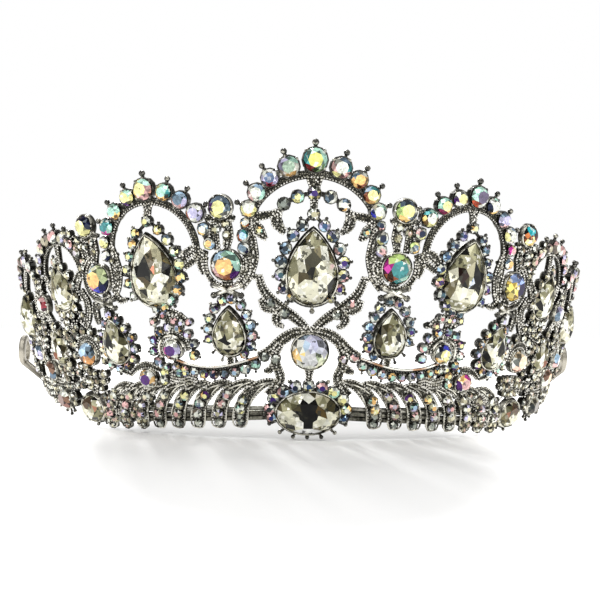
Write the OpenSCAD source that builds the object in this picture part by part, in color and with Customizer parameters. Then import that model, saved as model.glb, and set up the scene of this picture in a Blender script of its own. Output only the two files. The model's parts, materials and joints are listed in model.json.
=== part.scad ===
// Bridal crown: a flared, open-backed crest of cast openwork set with crystals, soldered
// round a plain bar that ends in two loops. Millimetres, +Z up, the front faces -Y.
// A place on the crown is [angle from the front, height up the slope], and w stands off its back.

/* [Crown] */
// Radius of the castings' back at the table
base_radius = 72; // [70:0.5:74]
// Outward lean of the castings at their foot, degrees
foot_lean = 16; // [14:0.5:18]
// Outward lean at the top of the tall arch, degrees
top_lean = 8; // [6:0.5:10]
// Thickness of the openwork
casting_t = 1.5; // [1.3:0.1:1.8]
// Thickness of the seat plates under the stones
seat_t = 1.0; // [0.8:0.1:1.1]

/* [Bar] */
// Diameter of the round bar behind the castings
bar_d = 2.1; // [1.8:0.1:2.3]
// Height of the bar's middle above the table
bar_z = 6.45; // [6:0.05:7]
// Angle from the front to each end of the bar
bar_reach = 80; // [80:0.5:82]
// Bore radius of the end loops
loop_bore_r = 2.9; // [2.5:0.1:3.1]
// Outer radius of the end loops
loop_r = 4.6; // [4.4:0.1:4.8]
// Thickness of the end loops
loop_t = 1.9; // [1.6:0.1:2.1]
// How far each loop's middle is from the middle plane
loop_x = 83.6; // [83:0.1:84]
// Height of each loop's middle above the table
loop_z = 18; // [17.5:0.1:18.5]

/* [Settings] */
// Wall of the bezels round the big stones
bezel_wall = 0.45; // [0.35:0.05:0.6]
// Height of the bezel walls above the castings' back
bezel_h = 2.2; // [1.9:0.1:2.4]
// Space between a stone and its setting
stone_gap = 0.12; // [0.08:0.01:0.2]
// Radius of the small cups that ring the big stones
halo_cup_r = 1.4; // [1.2:0.1:1.5]
// Radius of the ball at a prong's end
ball_r = 0.75; // [0.6:0.05:0.8]

/* [Ribs] */
// Ribs in each low band
rib_count = 8; // [6:1:8]
// Angle between ribs
rib_pitch = 4.1; // [3.9:0.05:4.1]
// How far the bands sink for each degree outwards
rib_drop = 0.075; // [0.05:0.005:0.08]

/* [Hidden] */
slope_h = 70;                 // slope height at which the lean reaches top_lean
slope_k = (top_lean - foot_lean) / slope_h;
slope_rad = slope_k * PI / 180;
stone_w = seat_t + stone_gap; // where a stone's back sits
seat_back = 0.35;             // how far a seat reaches behind the openwork
cup_t = seat_t + 0.2;         // height of the small cups
girdle_w = 0.8;               // from a stone's back to its girdle
gem_sides = 12;               // corners of a pear's or oval's outline
rail_steps = 7;               // straight steps in a rib band's rails
seat_sides = 8;               // corners of a round stone's wall
foot_rise = 1.2;              // the chart's zero above the table, which the lowest prongs reach
bar_v = (bar_z - foot_rise) / cos(foot_lean);
bar_r = radius_at(bar_v) - (bar_d / 2 + seat_back + stone_gap) / cos(foot_lean);
loop_back = 1;                // how far the loops are behind the plan's centre
plan_shift = 41.8;            // moves the middle of the plan to the origin
pear_fullness = 0.7;          // 0 is an ellipse, and 1 a slim drop
pear_widest = max([for (t = [90 : 1 : 130]) sin(t) * pow(sin(t / 2), pear_fullness)]);
SIDES = ["left", "right"];

// Pears and ovals: name, angle, height, width, length, lean of the tip, cups round it
PEARS = [
    ["centre_pear", 0, 40.6, 10.6, 16.6, 0, 15],
    ["arch_pear", 26.7, 39.6, 10.6, 16.6, -3, 15],
    ["column_pear", 13.7, 25.2, 7.2, 10.6, 0, 13],
    ["column_pear_2", 36.6, 22.2, 7.2, 10.6, -4, 13],
    ["side_pear", 49.4, 35.6, 7.4, 11, -10, 12],
    ["column_pear_3", 54.4, 20, 5.8, 8.6, -10, 10],
    ["end_pear", 67.4, 29.2, 7, 10.4, -8, 11]];
OVALS = [
    ["front_oval", 0, 5.9, 14, 9.8, 0, 17],
    ["side_oval", 46.2, 4.4, 8.8, 6.6, 0, 0]];
// Round stones on seats of their own: name, angle, height, diameter
ROUNDS = [
    ["centre_round", 0, 20.7, 8],
    ["top_round", 14.4, 54.2, 5.2],
    ["top_round_2", 40.1, 50.8, 5.2],
    ["column_round", 13.7, 40.9, 7],
    ["column_round_2", 38.2, 37.8, 7],
    ["column_round_3", 57.6, 31.6, 4.8],
    ["curl_round", 24.2, 20.7, 4.6],
    ["curl_round_2", 44.3, 18.8, 6],
    ["curl_round_3", 66.4, 18.4, 4.8],
    ["low_round", 29.9, 13.3, 4.6],
    ["foot_round", 60.4, 13.6, 5.4],
    ["base_round", 56.6, 6, 5.4]];
// Stones in the rows on the arches: angle, height, diameter
CENTRE_ROW = [[0, 64.8, 5.5], [3.9, 63.2, 4.8], [6.7, 60.7, 4], [8.7, 57.4, 4.1], [9.9, 53.8, 3.8],
    [10.5, 50.6, 2.2], [10.8, 47.7, 3], [10.8, 44.8, 2.8]];
SECOND_ROW = [[16.3, 45.9, 2.8], [17.2, 49.2, 2.9], [18.5, 52.9, 4.2], [20.9, 55.9, 4], [23.6, 57.8, 4],
    [27.2, 58.6, 5.1], [30.3, 56.9, 4], [33.1, 53.8, 4], [35, 50.3, 4], [35.9, 46.6, 2.9], [35.8, 43.4, 2.8]];
THIRD_ROW = [[42.9, 44.4, 2.4], [44.6, 46.6, 2.5], [46.8, 48.2, 2.9], [49.4, 48.8, 3.5], [52.1, 48.1, 3.3],
    [54.4, 46.1, 3], [55.9, 43.4, 2.6], [56.6, 40.6, 2.4]];
FOURTH_ROW = [[60.4, 39.6, 2.4], [62.1, 42, 2.8], [64.6, 43.5, 3.2], [67.4, 43.6, 3.2], [69.8, 42, 2.8],
    [71.4, 39.5, 2.6], [72.2, 36.9, 2.4]];
// Arches: angle of the middle, height of the round's centre, radius of its band, half span of the round
CENTRE_ARCH = [0, 46.4, 15.1, 100];
SECOND_ARCH = [26.8, 44.2, 11.4, 100];
THIRD_ARCH = [49.3, 38.6, 8.4, 96];
FOURTH_ARCH = [66.2, 34.6, 6.6, 96];

// A stone on the middle line is single, and the others come in pairs
function sides_of(p) = p[1] == 0 ? ["right"] : SIDES;
function name_of(p, s) = p[1] == 0 ? p[0] : str(p[0], "_", s);
function named(table, name) = [for (p = table) if (p[0] == name) p][0];
// The centre's row, down its left limb and up its right one
function both_limbs(row) =
    concat([for (i = [len(row) - 1 : -1 : 1]) [-row[i][0], row[i][1], row[i][2]]], row);

// The crown's surface
function lean_at(v) = foot_lean + slope_k * v;
function radius_at(v) = base_radius + (cos(foot_lean) - cos(lean_at(v))) / slope_rad;
function height_at(v) = (sin(lean_at(v)) - sin(foot_lean)) / slope_rad;
function degree_mm(v) = radius_at(v) * PI / 180;
function on_crown(th, v, w = 0) =
    let (r = radius_at(v) + w * cos(lean_at(v)))
    [r * sin(th), plan_shift - r * cos(th), foot_rise + height_at(v) - w * sin(lean_at(v))];
// A step of [across, up] millimetres from a place
function step(p, a, b) = [p[0] + a / degree_mm(p[1]), p[1] + b];

// Stands children on the surface, their X along it, Y up it and Z outwards
module at(th, v, turn = 0, w = 0) {
    translate(on_crown(th, v, w))
        rotate([90 + lean_at(v), 0, th])
            rotate(turn)
                children();
}

module side(s) {
    if (s == "left") mirror([1, 0, 0]) children();
    else children();
}

// A smooth route through a few places, n steps between each pair
function between(p, i, u) =
    let (a = p[max(i - 1, 0)], b = p[i], c = p[i + 1], d = p[min(i + 2, len(p) - 1)])
    0.5 * (2 * b + u * (c - a) + u * u * (2 * a - 5 * b + 4 * c - d) + u * u * u * (3 * b - a - 3 * c + d));
function route(p, n = 2) =
    concat([for (i = [0 : len(p) - 2], k = [0 : n - 1]) between(p, i, k / n)], [p[len(p) - 1]]);
// The places along an arc, given by its centre, radius and angles from straight up
function arc(th, v, r, from, to, n) =
    [for (i = [0 : n]) let (g = from + (to - from) * i / n) step([th, v], r * sin(g), r * cos(g))];
function blend3(w, u) = u < 0.5 ? w[0] + (w[1] - w[0]) * 2 * u : w[1] + (w[2] - w[1]) * (2 * u - 1);

// A strip of casting along places q, ridged in the middle, with its widths at the start, middle and end
module strip(q, wide, t = casting_t, w0 = 0) {
    n = len(q);
    pts = [for (i = [0 : n - 1])
        let (a = q[max(i - 1, 0)], b = q[min(i + 1, n - 1)],
             d = [(b[0] - a[0]) * degree_mm(q[i][1]), b[1] - a[1]],
             e = [-d[1], d[0]] / norm(d) * blend3(wide, i / (n - 1)) / 2)
        for (c = [[1, 0], [-1, 0], [0, t]])
            let (p = step(q[i], c[0] * e[0], c[0] * e[1])) on_crown(p[0], p[1], w0 + c[1])];
    sides = [for (i = [0 : n - 2], k = [0 : 2]) let (a = 3 * i, m = (k + 1) % 3)
        for (f = [[a + k, a + m, a + 3 + m], [a + k, a + 3 + m, a + 3 + k]]) f];
    polyhedron(pts, concat(sides, [[0, 2, 1], [3 * n - 3, 3 * n - 2, 3 * n - 1]]));
}

// Outlines of pears (full > 0) and of ovals and rounds (full = 0)
function rim_at(t, w, l, full) =
    [w / 2 / (full > 0 ? pear_widest : 1) * sin(t) * (full > 0 ? pow(sin(t / 2), full) : 1), l / 2 * cos(t)];
function rim(w, l, full, n) = [for (i = [0 : n - 1]) rim_at(360 * i / n, w, l, full)];
// Angles at which n cups stand evenly along an outline
function even_turns(w, l, full, n) =
    let (m = 60, q = [for (i = [0 : m]) rim_at(360 * i / m, w, l, full)],
         run = [for (i = 0, s = 0; i <= m; s = s + (i < m ? norm(q[i + 1] - q[i]) : 0), i = i + 1)
             [s, 360 * i / m]])
    [for (i = [0 : n - 1]) lookup(run[m][0] * (i + 0.5) / n, run)];

// A cut stone: back, girdle, crown facets and table, as rings of n corners
module gem(w, l, full, n, crown_h) {
    rings = [[0.86, 0], [1, girdle_w], [0.8, girdle_w + 0.6 * crown_h], [0.5, girdle_w + crown_h]];
    low = full > 0 ? -0.06 * l : 0;
    pts = [for (r = rings, p = rim(w, l, full, n)) [p[0] * r[0], (p[1] - low) * r[0] + low, r[1]]];
    walls = [for (j = [0 : 2], i = [0 : n - 1])
        let (a = j * n + i, b = j * n + (i + 1) % n) [a, b, b + n, a + n]];
    polyhedron(pts, concat(walls, [[for (i = [n - 1 : -1 : 0]) i], [for (i = [0 : n - 1]) 3 * n + i]]));
}

module pear(p) {
    color("darkkhaki")
        at(p[1], p[2], p[5], stone_w)
            gem(p[3], p[4], pear_fullness, gem_sides, 0.19 * p[3]);
}

module oval(p) {
    color("darkkhaki")
        at(p[1], p[2], p[5], stone_w)
            gem(p[3], p[4], 0, gem_sides, 0.22 * p[4]);
}

// A round stone: girdle and crown
module brilliant(th, v, d) {
    at(th, v, 0, stone_w) {
        cylinder(girdle_w, d = d, $fn = 24);
        translate([0, 0, girdle_w])
            cylinder(0.24 * d, d / 2, d / 4, $fn = 24);
    }
}

module round_stone(p) {
    color("paleturquoise") brilliant(p[1], p[2], p[3]);
}

// The stones of one arch, joined at their backs as a cup chain is
module stone_row(row) {
    color("paleturquoise") {
        for (s = row) brilliant(s[0], s[1], s[2]);
        for (i = [0 : len(row) - 2])
            rod(on_crown(row[i][0], row[i][1], stone_w + girdle_w / 2),
                on_crown(row[i + 1][0], row[i + 1][1], stone_w + girdle_w / 2), 0.3);
    }
}

// A round rod from a to b
module rod(a, b, r) {
    d = b - a;
    translate(a)
        rotate([0, acos(d[2] / norm(d)), atan2(d[1], d[0])])
            cylinder(norm(d), r, r, $fn = 24);
}

// Outline of a ring of n cups, three corners to a cup
function scallops(w, l, full, n) =
    let (t = even_turns(w, l, full, 3 * n), out = 2 * halo_cup_r)
    [for (k = [0 : 3 * n - 1]) k % 3 == 0 ? rim_at(t[k], w, l, full) : rim_at(t[k], w + out, l + out, full)];

// Seat plate, bezel wall and the ring of small cups round a pear or oval
module halo_seat(p, full, low = 99) {
    grow = 2 * (stone_gap + bezel_wall);
    reach = grow + 2 * halo_cup_r - 0.7;
    at(p[1], p[2], p[5], -seat_back)
        difference() {
            union() {
                linear_extrude(bezel_h + seat_back)
                    polygon(rim(p[3] + grow, p[4] + grow, full, gem_sides));
                if (p[6] > 0)
                    linear_extrude(cup_t + seat_back)
                        intersection() {
                            polygon(scallops(p[3] + reach, p[4] + reach, full, p[6]));
                            translate([-p[4], -low]) square([2 * p[4], low + p[4]]);
                        }
            }
            translate([0, 0, seat_t + seat_back])
                linear_extrude(bezel_h)
                    polygon(rim(p[3] + 2 * stone_gap, p[4] + 2 * stone_gap, full, gem_sides));
        }
}

// Seat plate and low wall of a round stone
module round_seat(p) {
    r = (p[3] / 2 + stone_gap) / cos(180 / seat_sides);
    at(p[1], p[2], 180 / seat_sides, -seat_back)
        difference() {
            cylinder(bezel_h + seat_back - 0.4, r + bezel_wall, r + bezel_wall, $fn = seat_sides);
            translate([0, 0, seat_t + seat_back])
                cylinder(bezel_h, r, r, $fn = seat_sides);
        }
}

// Cups under all but the smallest stones of a row; from the size least up they have
// prongs that point away from the arch's centre
module row_seats(row, arch, least) {
    for (s = row) {
        d = [(s[0] - arch[0]) * degree_mm(s[1]), s[1] - arch[1]];
        if (s[2] > 2.5)
            at(s[0], s[1], 0, -seat_back)
                cylinder(seat_t + seat_back, s[2] / 2 + 0.3, s[2] / 2 + 0.3, $fn = 6);
        if (s[2] >= least)
            prong(s[0], s[1], atan2(d[1], d[0]), s[2] / 2 - 0.3, s[2] / 2 + 1.5);
    }
}

// A cup for a stone of 2 to 3 mm
module small_cup(th, v, r) {
    at(th, v, 0, -seat_back)
        cylinder(cup_t + seat_back, r, r, $fn = 5);
}

// A prong with a ball at its end, along the surface in direction g
module prong(th, v, g, from, to, ball = ball_r) {
    at(th, v, g, ball)
        hull() {
            translate([from, 0, -0.2]) cube([0.5, 0.8, 0.8], center = true);
            translate([to, 0, 0]) sphere(ball, $fn = 4);
        }
}

// Band of an arch's round, wide enough at its top to bed the stones
module arch_band(a, n) {
    strip(arc(a[0], a[1], a[2] + 0.6, -a[3], a[3], n), [1.8, 3, 1.8], seat_t);
}

// Two crossed leaves that tie a column together
module bow(th, v, wide) {
    for (k = [-1, 1]) {
        strip([step([th, v], k * wide, 1.1), step([th, v], k * wide / 2, 0.2), step([th, v], 0, 0.5)],
            [0.9, 1.4, 1.2]);
        strip([step([th, v], k * wide * 0.9, -0.9), step([th, v], 0, 0.4)], [0.8, 1.2, 1.2]);
    }
}

// Leaves under a column's top stone, down to its big round stone
module column_leaves(th, top, foot) {
    strip([step([th, top], -2.6, 0.4), step([th, top], -1.4, 0.6), step([th, top], 0, -0.2),
        step([th, top], 2, 0.6), step([th, top], 3.6, 0)], [0.9, 1.5, 0.9]);
    strip(route([[th, top], [th, (top + foot) / 2], [th - 0.2, foot]]), [2.6, 3, 1.4]);
}

// The half cup under a column's round stone
module half_cup(p, r, from, to) {
    strip(arc(p[1], p[2], r, from, to, 5), [1.1, 1.7, 1.1]);
}

// Curled bracket over a small round stone, with the cups that follow it
module curl(p, r, cups, rise) {
    last = 3 * cups;
    outer = [for (k = [0 : last]) let (g = -110 + 230 * k / last, q = r + (k % 3 == 0 ? 1.9 : 3.1))
        [q * sin(g), q * cos(g)]];
    inner = [for (k = [6 : -1 : 0]) let (g = -110 + 230 * k / 6) [r * sin(g), r * cos(g)]];
    at(p[1], p[2], 0, -seat_back)
        linear_extrude(cup_t + seat_back)
            polygon(concat(outer, inner));
    strip([step([p[1], p[2]], 0, r), step([p[1], p[2]], 0.6, r + rise)], [1.6, 1.4, 1.8]);
    strip([step([p[1], p[2]], -r * 0.9, -r * 0.35), [p[1], p[2] - p[3] * 0.45]], [1.2, 1.2, 1.2], seat_t);
}

// The plain bar, which carries the castings
module base_bar() {
    solder = stone_gap / bar_r * 180 / PI;
    color("dimgray")
        translate([0, plan_shift, 0])
            rotate([0, 0, solder - bar_reach - 90])
                rotate_extrude(angle = 2 * (bar_reach - solder), $fn = 96)
                    translate([bar_r, bar_z])
                        circle(d = bar_d, $fn = 24);
}

// A flat loop at the bar's level end, on a shank that bends up and out to it
module end_loop() {
    edge = loop_t / 4;
    color("dimgray")
        difference() {
            union() {
                shank();
                loop_place()
                    rotate_extrude($fn = 48)
                        polygon([[0, -loop_t / 2], [loop_r - edge, -loop_t / 2], [loop_r, -edge],
                            [loop_r, edge], [loop_r - edge, loop_t / 2], [0, loop_t / 2]]);
            }
            loop_place() cylinder(h = 3 * loop_t, r = loop_bore_r, center = true, $fn = 48);
        }
}

// One bend of round bar that leaves the bar's end in line with it and meets the loop's rim
module shank() {
    along = [cos(bar_reach), sin(bar_reach), 0];
    start = [bar_r * sin(bar_reach), -bar_r * cos(bar_reach), bar_z];
    rim = (loop_r + loop_bore_r) / 2;
    way = [loop_x - 0.2, loop_back - rim * sin(12), loop_z - rim * cos(12)] - start;
    aside = way - along * (way * along);
    out = aside / norm(aside);
    turn = acos(way * along / norm(way));
    bend = norm(way) / 2 / sin(turn);
    up = cross(-out, along);
    middle = start + out * bend + [0, plan_shift, 0];
    multmatrix([for (i = [0:2]) [-out[i], along[i], up[i], middle[i]]])
        rotate_extrude(angle = 2 * turn, $fn = 96)
            translate([bend, 0])
                circle(d = bar_d, $fn = 24);
}

module loop_place() {
    translate([loop_x, plan_shift + loop_back, loop_z])
        rotate([0, 90, 0])
            children();
}

// The middle casting
module centre_crest() {
    color("silver") {
        arch_band(CENTRE_ARCH, 12);
        row_seats(both_limbs(CENTRE_ROW), CENTRE_ARCH, 3.8);
        halo_seat(named(PEARS, "centre_pear"), pear_fullness);
        halo_seat(named(OVALS, "front_oval"), 0, 3.4);
        round_seat(named(ROUNDS, "centre_round"));
        strip([[0, 61.8], [0, 52]], [1.2, 1, 1.4]);
        strip([for (g = [-5, -2.5, 0, 2.5, 5]) [g, 57.2 - 0.12 * g * g]], [1.2, 1.6, 1.2], seat_t);
        for (g = [0, 2.45, -2.45, 4.6, -4.6])
            small_cup(g, 57.4 - 0.12 * g * g, 1.5);
        strip([[0, 16.3], [0, 13]], [1.6, 1.2, 1.8]);
        for (g = [-52, -27, 0, 27, 52])
            prong(0, 5.9, g - 90, 4.9 + abs(g) / 40, 6.23 + abs(g) / 40);
        for (g = [-22, 0, 22])
            prong(0, 36, g - 90, 5.6, 6.2);
        for (s = SIDES) side(s) centre_half();
    }
}

module centre_half() {
    strip(route([[10.2, 47.6], [9.8, 44.5], [9.8, 41], [10.3, 38], [10.9, 36.4]]), [2.2, 2.5, 1.3], seat_t);
    strip(route([[9.8, 39.6], [6.8, 35.6], [4.4, 32.5], [2.2, 30], [0.9, 27.8], [0, 25.6]]), [2.4, 2, 1.6]);
    strip([[4.4, 31.6], [5.9, 30.8], [7.4, 31.6], [8.4, 33.7]], [1.4, 2, 0.6]);
    strip(route([[1.4, 29], [3.2, 30.1], [4.9, 29.2], [5.1, 27.2], [4, 26], [3.2, 26.8]]), [1.2, 1.5, 0.8]);
    strip([[4.4, 54.4], [6.2, 52.4], [9.2, 51.6]], [1, 1.7, 1.2]);
    strip([[5.6, 52.8], [5.3, 50.6], [4.3, 48.8]], [1.3, 1.6, 1.2]);
    strip(route([[9.4, 51], [8.2, 49.6], [7.2, 47.2]]), [1.6, 2.4, 0.7]);
    strip(route([[0, 25.8], [2.8, 24.9], [5.2, 22.8], [6.9, 20.8], [8.3, 19.8]]), [1.6, 1.7, 1]);
    strip(route([[4.2, 23], [5.2, 19.8], [5.2, 16.8], [5.1, 14.4], [6, 12], [7.2, 10]]), [1.3, 1.5, 2]);
    for (q = [[6, 18.9], [7.8, 18.6], [5.9, 16.9]])
        small_cup(q[0], q[1], 1.1);
    strip([[3, 35.4], [7.2, 36.4]], [1.6, 1.6, 1.6]);
    strip([[3, 21], [4.8, 21.6]], [1.4, 1.2, 1.2]);
}

// One low band: S-shaped ribs under a top rail
function sunk(th, v) = [th, v - rib_drop * (th - 12)];
module rib_band() {
    last = 12.4 + rib_pitch * (rib_count - 1);
    color("silver") {
        round_seat(named(ROUNDS, "low_round"));
        low_leaves();
        for (q = [[8.8, 12.6], [10.4, 4.9]])
            strip([for (i = [0 : rail_steps]) sunk(q[0] + (last - 9.2) * i / rail_steps, q[1])],
                [1.2, 1.4, 1], seat_t);
        for (i = [0 : rib_count - 1]) {
            b = 12.4 + rib_pitch * i;
            strip([sunk(b, 3.9), sunk(b - 0.5, 6.6), sunk(b - 1.8, 9.6), sunk(b - 3.7, 12.2)],
                [2.2, 2.3, 1.2]);
            hull()
                for (k = [0.3, -0.5])
                    at(b + k, sunk(b, 4.2 - k)[1])
                        cylinder(casting_t, 1.25, 1.25, $fn = 5);
        }
    }
}

// The second arch with its pear, and the first column beside it
module arch_crest() {
    cup = named(ROUNDS, "column_round");
    color("silver") {
        round_seat(named(ROUNDS, "top_round"));
        column_leaves(14.2, 51.2, 45);
        strip([[17.4, 51.2], [16.4, 47.4], [15.2, 45]], [1.2, 1.6, 1], seat_t);
        round_seat(cup);
        half_cup(cup, 5.2, 72, 205);
        strip([step([13.7, 40.9], 3.9, -1), step([13.7, 40.9], 5.4, -1)], [1.6, 1.6, 1.6]);
        bow(13.7, 34.6, 3.4);
        strip([[13.7, 37.4], [13.7, 32.6]], [1.6, 2, 2]);
        halo_seat(named(PEARS, "column_pear"), pear_fullness);
        strip([[17.6, 42.6], [19, 43.8], [20.6, 43], [21.4, 42]], [1.4, 1.7, 1.4]);
        arch_band(SECOND_ARCH, 10);
        row_seats(SECOND_ROW, SECOND_ARCH, 3.8);
        for (g = [-25, -65])
            prong(26.8, 35.5, g - 20, 6.2, 7.3);
        strip([[26.8, 55], [26.8, 48]], [1.6, 1.2, 1.6]);
        halo_seat(named(PEARS, "arch_pear"), pear_fullness);
        strip(route([[35, 45], [34.4, 41], [34, 38.4], [34.2, 35.6], [34.8, 34]]), [2, 1.8, 1.2], seat_t);
        strip([[31.4, 38.6], [34.4, 39.4]], [1.4, 1.4, 1.4]);
        curl(named(ROUNDS, "curl_round"), 3.6, 7, 7);
        swag();
        round_seat(named(ROUNDS, "curl_round"));
    }
}

// The hanging bar under the first column, with its row of cups
module swag() {
    line = [[23.4, 18], [21, 16.8], [18, 16.3], [15, 16.7], [12, 17.7], [9.4, 18.9]];
    strip(route(line, 2), [1.1, 1.2, 1]);
    for (i = [0 : 6]) {
        c = route(line, 4)[2 + 3 * i];
        small_cup(c[0], c[1] - 1.3, 1.15);
    }
    strip([[13.7, 20.2], [13.7, 17]], [2, 1.4, 1.4]);
}

module low_leaves() {
    for (q = [[26.4, 15], [26.7, 12.9]])
        small_cup(q[0], q[1], 1.3);
    strip([[27.2, 15.4], [29.9, 16.4], [32.2, 15.4], [33.2, 14]], [1, 1.5, 0.6]);
    strip([[20.6, 13.1], [22.6, 12.7], [26, 13.1]], [1, 1.4, 1]);
}

// The second column, the third arch with its pear, and the side oval under them
module side_crest() {
    cup = named(ROUNDS, "column_round_2");
    color("silver") {
        round_seat(named(ROUNDS, "top_round_2"));
        column_leaves(39.8, 47.8, 41.6);
        round_seat(cup);
        half_cup(cup, 5, 30, 215);
        strip([step([38.2, 37.8], 3.4, -1), step([38.2, 37.8], 5.2, -1)], [1.6, 1.6, 1.6]);
        bow(37.4, 31.6, 3.4);
        strip([[37.8, 34], [36.8, 29]], [1.6, 2, 2]);
        halo_seat(named(PEARS, "column_pear_2"), pear_fullness);
        arch_band(THIRD_ARCH, 9);
        row_seats(THIRD_ROW, THIRD_ARCH, 2.6);
        strip([[49.3, 46.4], [49.3, 42]], [1.4, 1.1, 1.4]);
        halo_seat(named(PEARS, "side_pear"), pear_fullness);
        strip([[43.4, 39.4], [44.8, 37.2], [45.4, 35.4]], [1.6, 1.6, 1.4]);
        strip([[55, 38.6], [53.4, 36]], [1.4, 1.4, 1.4]);
        curl(named(ROUNDS, "curl_round_2"), 4, 7, 8.4);
        strip([[39.8, 20.6], [42, 20]], [1.4, 1.4, 1.4]);
        round_seat(named(ROUNDS, "curl_round_2"));
        strip([[44.3, 15.3], [44.6, 12.4], [45.4, 8]], [1.6, 2.2, 3]);
        strip(route([[41.4, 11.6], [44.6, 11.8], [48.4, 11]]), [1, 1.8, 1]);
        halo_seat(named(OVALS, "side_oval"), 0);
        for (q = [[42.4, 8.2], [49.8, 9.2]])
            strip([[45.8, 8], q], [2, 1.6, 1.2]);
        for (g = [-60, -90, -120])
            prong(46.2, 4.4, g, 3.6, 4.73);
    }
}

// The third column and the smallest arch, over the end of the base
module end_crest() {
    cup = named(ROUNDS, "column_round_3");
    color("silver") {
        round_seat(cup);
        half_cup(cup, 3.8, 20, 200);
        strip([[58.6, 37.4], [58.2, 35.8], [57.9, 34.3]], [1, 2.2, 1.6]);
        strip([step([57.6, 31.6], 2.7, -0.5), step([57.6, 31.6], 4.3, -0.5)], [1.5, 1.5, 1.5]);
        strip([[57.4, 28.8], [55.2, 24.4]], [1.6, 2, 2]);
        halo_seat(named(PEARS, "column_pear_3"), pear_fullness);
        arch_band(FOURTH_ARCH, 8);
        row_seats(FOURTH_ROW, FOURTH_ARCH, 2.6);
        strip([[66.2, 42], [66.8, 34]], [1.3, 1.1, 1.3]);
        halo_seat(named(PEARS, "end_pear"), pear_fullness);
        strip([[61.6, 34.2], [63.8, 31]], [1.4, 1.4, 1.4]);
        curl(named(ROUNDS, "curl_round_3"), 3.4, 6, 0.4);
        round_seat(named(ROUNDS, "curl_round_3"));
        strip([[56.6, 17.6], [60.4, 17.2]], [1.4, 1.6, 1.4]);
        strip([[65.6, 15.4], [63.2, 13]], [1.4, 1.6, 1.4]);
        round_seat(named(ROUNDS, "foot_round"));
        round_seat(named(ROUNDS, "base_round"));
        for (g = [-50, -90, -130])
            prong(56.6, 6, g, 2.7, 3.7);
        strip(route([[51.8, 10], [57, 10.2], [64, 10.4], [71, 9.8], [77.4, 8.2]]), [1.4, 2.6, 1.4], seat_t);
        strip(route([[59.6, 6.4], [66, 6.2], [72, 6.6], [77.4, 8]]), [1.2, 1.6, 1.2]);
        strip(route([[72, 33], [74.6, 26], [75.4, 18], [75, 11], [76.2, 8.4]]), [1.2, 1.8, 1.4]);
        strip([[71.4, 28.6], [74.2, 27]], [1.4, 1.4, 1.4]);
    }
}

base_bar();
centre_crest();
stone_row(both_limbs(CENTRE_ROW));  // centre_arch_stones
for (s = SIDES) {
    side(s) end_loop();
    side(s) rib_band();
    side(s) arch_crest();
    side(s) side_crest();
    side(s) end_crest();
    side(s) stone_row(SECOND_ROW);
    side(s) stone_row(THIRD_ROW);
    side(s) stone_row(FOURTH_ROW);
}
for (p = PEARS, s = sides_of(p)) side(s) pear(p);
for (p = OVALS, s = sides_of(p)) side(s) oval(p);
for (p = ROUNDS, s = sides_of(p)) side(s) round_stone(p);
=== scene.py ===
import json
import math
import random

import bpy
from mathutils import Matrix, Vector

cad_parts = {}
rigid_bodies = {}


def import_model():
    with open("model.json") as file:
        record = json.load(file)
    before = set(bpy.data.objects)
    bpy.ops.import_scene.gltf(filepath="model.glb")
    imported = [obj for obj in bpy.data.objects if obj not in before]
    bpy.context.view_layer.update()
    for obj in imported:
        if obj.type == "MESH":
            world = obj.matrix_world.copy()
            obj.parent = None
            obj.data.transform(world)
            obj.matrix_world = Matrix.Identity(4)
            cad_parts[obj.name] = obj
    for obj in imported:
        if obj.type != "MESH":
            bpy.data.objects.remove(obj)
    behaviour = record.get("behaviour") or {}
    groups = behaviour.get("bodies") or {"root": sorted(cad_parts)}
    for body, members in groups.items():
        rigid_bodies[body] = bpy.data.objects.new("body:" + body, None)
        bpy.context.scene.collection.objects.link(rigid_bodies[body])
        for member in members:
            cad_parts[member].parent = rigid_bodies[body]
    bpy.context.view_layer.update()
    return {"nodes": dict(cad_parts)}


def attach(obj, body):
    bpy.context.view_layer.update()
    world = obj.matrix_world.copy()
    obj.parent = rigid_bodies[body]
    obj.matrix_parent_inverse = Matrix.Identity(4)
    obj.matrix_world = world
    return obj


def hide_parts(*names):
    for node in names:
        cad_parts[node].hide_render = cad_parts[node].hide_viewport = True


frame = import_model()
mm = 0.001
sides = {"left": -1, "right": 1}

# The crown's surface: a place is an angle from the front and a height up the slope, in degrees and mm
crown = {
    "baseRadius": 72,
    "footLean": 16,
    "topLean": 8,
    "slopeHeight": 70,
    "footRise": 1.2,
    "planShift": 41.8,
    "flatDegree": 1.4,  # a degree's width on the flat pattern that the bands are drawn on
}


def leanAt(v):
    return crown["footLean"] + (crown["topLean"] - crown["footLean"]) * v / crown["slopeHeight"]


def leanSpan(shape, v):
    # how far a sine or cosine of the lean has gone from the foot up to v, as a length
    bend = math.radians(crown["topLean"] - crown["footLean"]) / crown["slopeHeight"]
    return (shape(math.radians(leanAt(v))) - shape(math.radians(crown["footLean"]))) / bend


def radiusAt(v):
    return crown["baseRadius"] - leanSpan(math.cos, v)


def heightAt(v):
    return crown["footRise"] + leanSpan(math.sin, v)


def degreeMm(v):
    return radiusAt(v) * math.pi / 180


def onCrown(th, v, w=0.0):
    lean = math.radians(leanAt(v))
    r = radiusAt(v) + w * math.cos(lean)
    a = math.radians(th)
    z = heightAt(v) - w * math.sin(lean)
    return Vector((r * math.sin(a), crown["planShift"] - r * math.cos(a), z)) * mm


def turnBy(degrees, axis):
    return Matrix.Rotation(math.radians(degrees), 4, axis)


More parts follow.
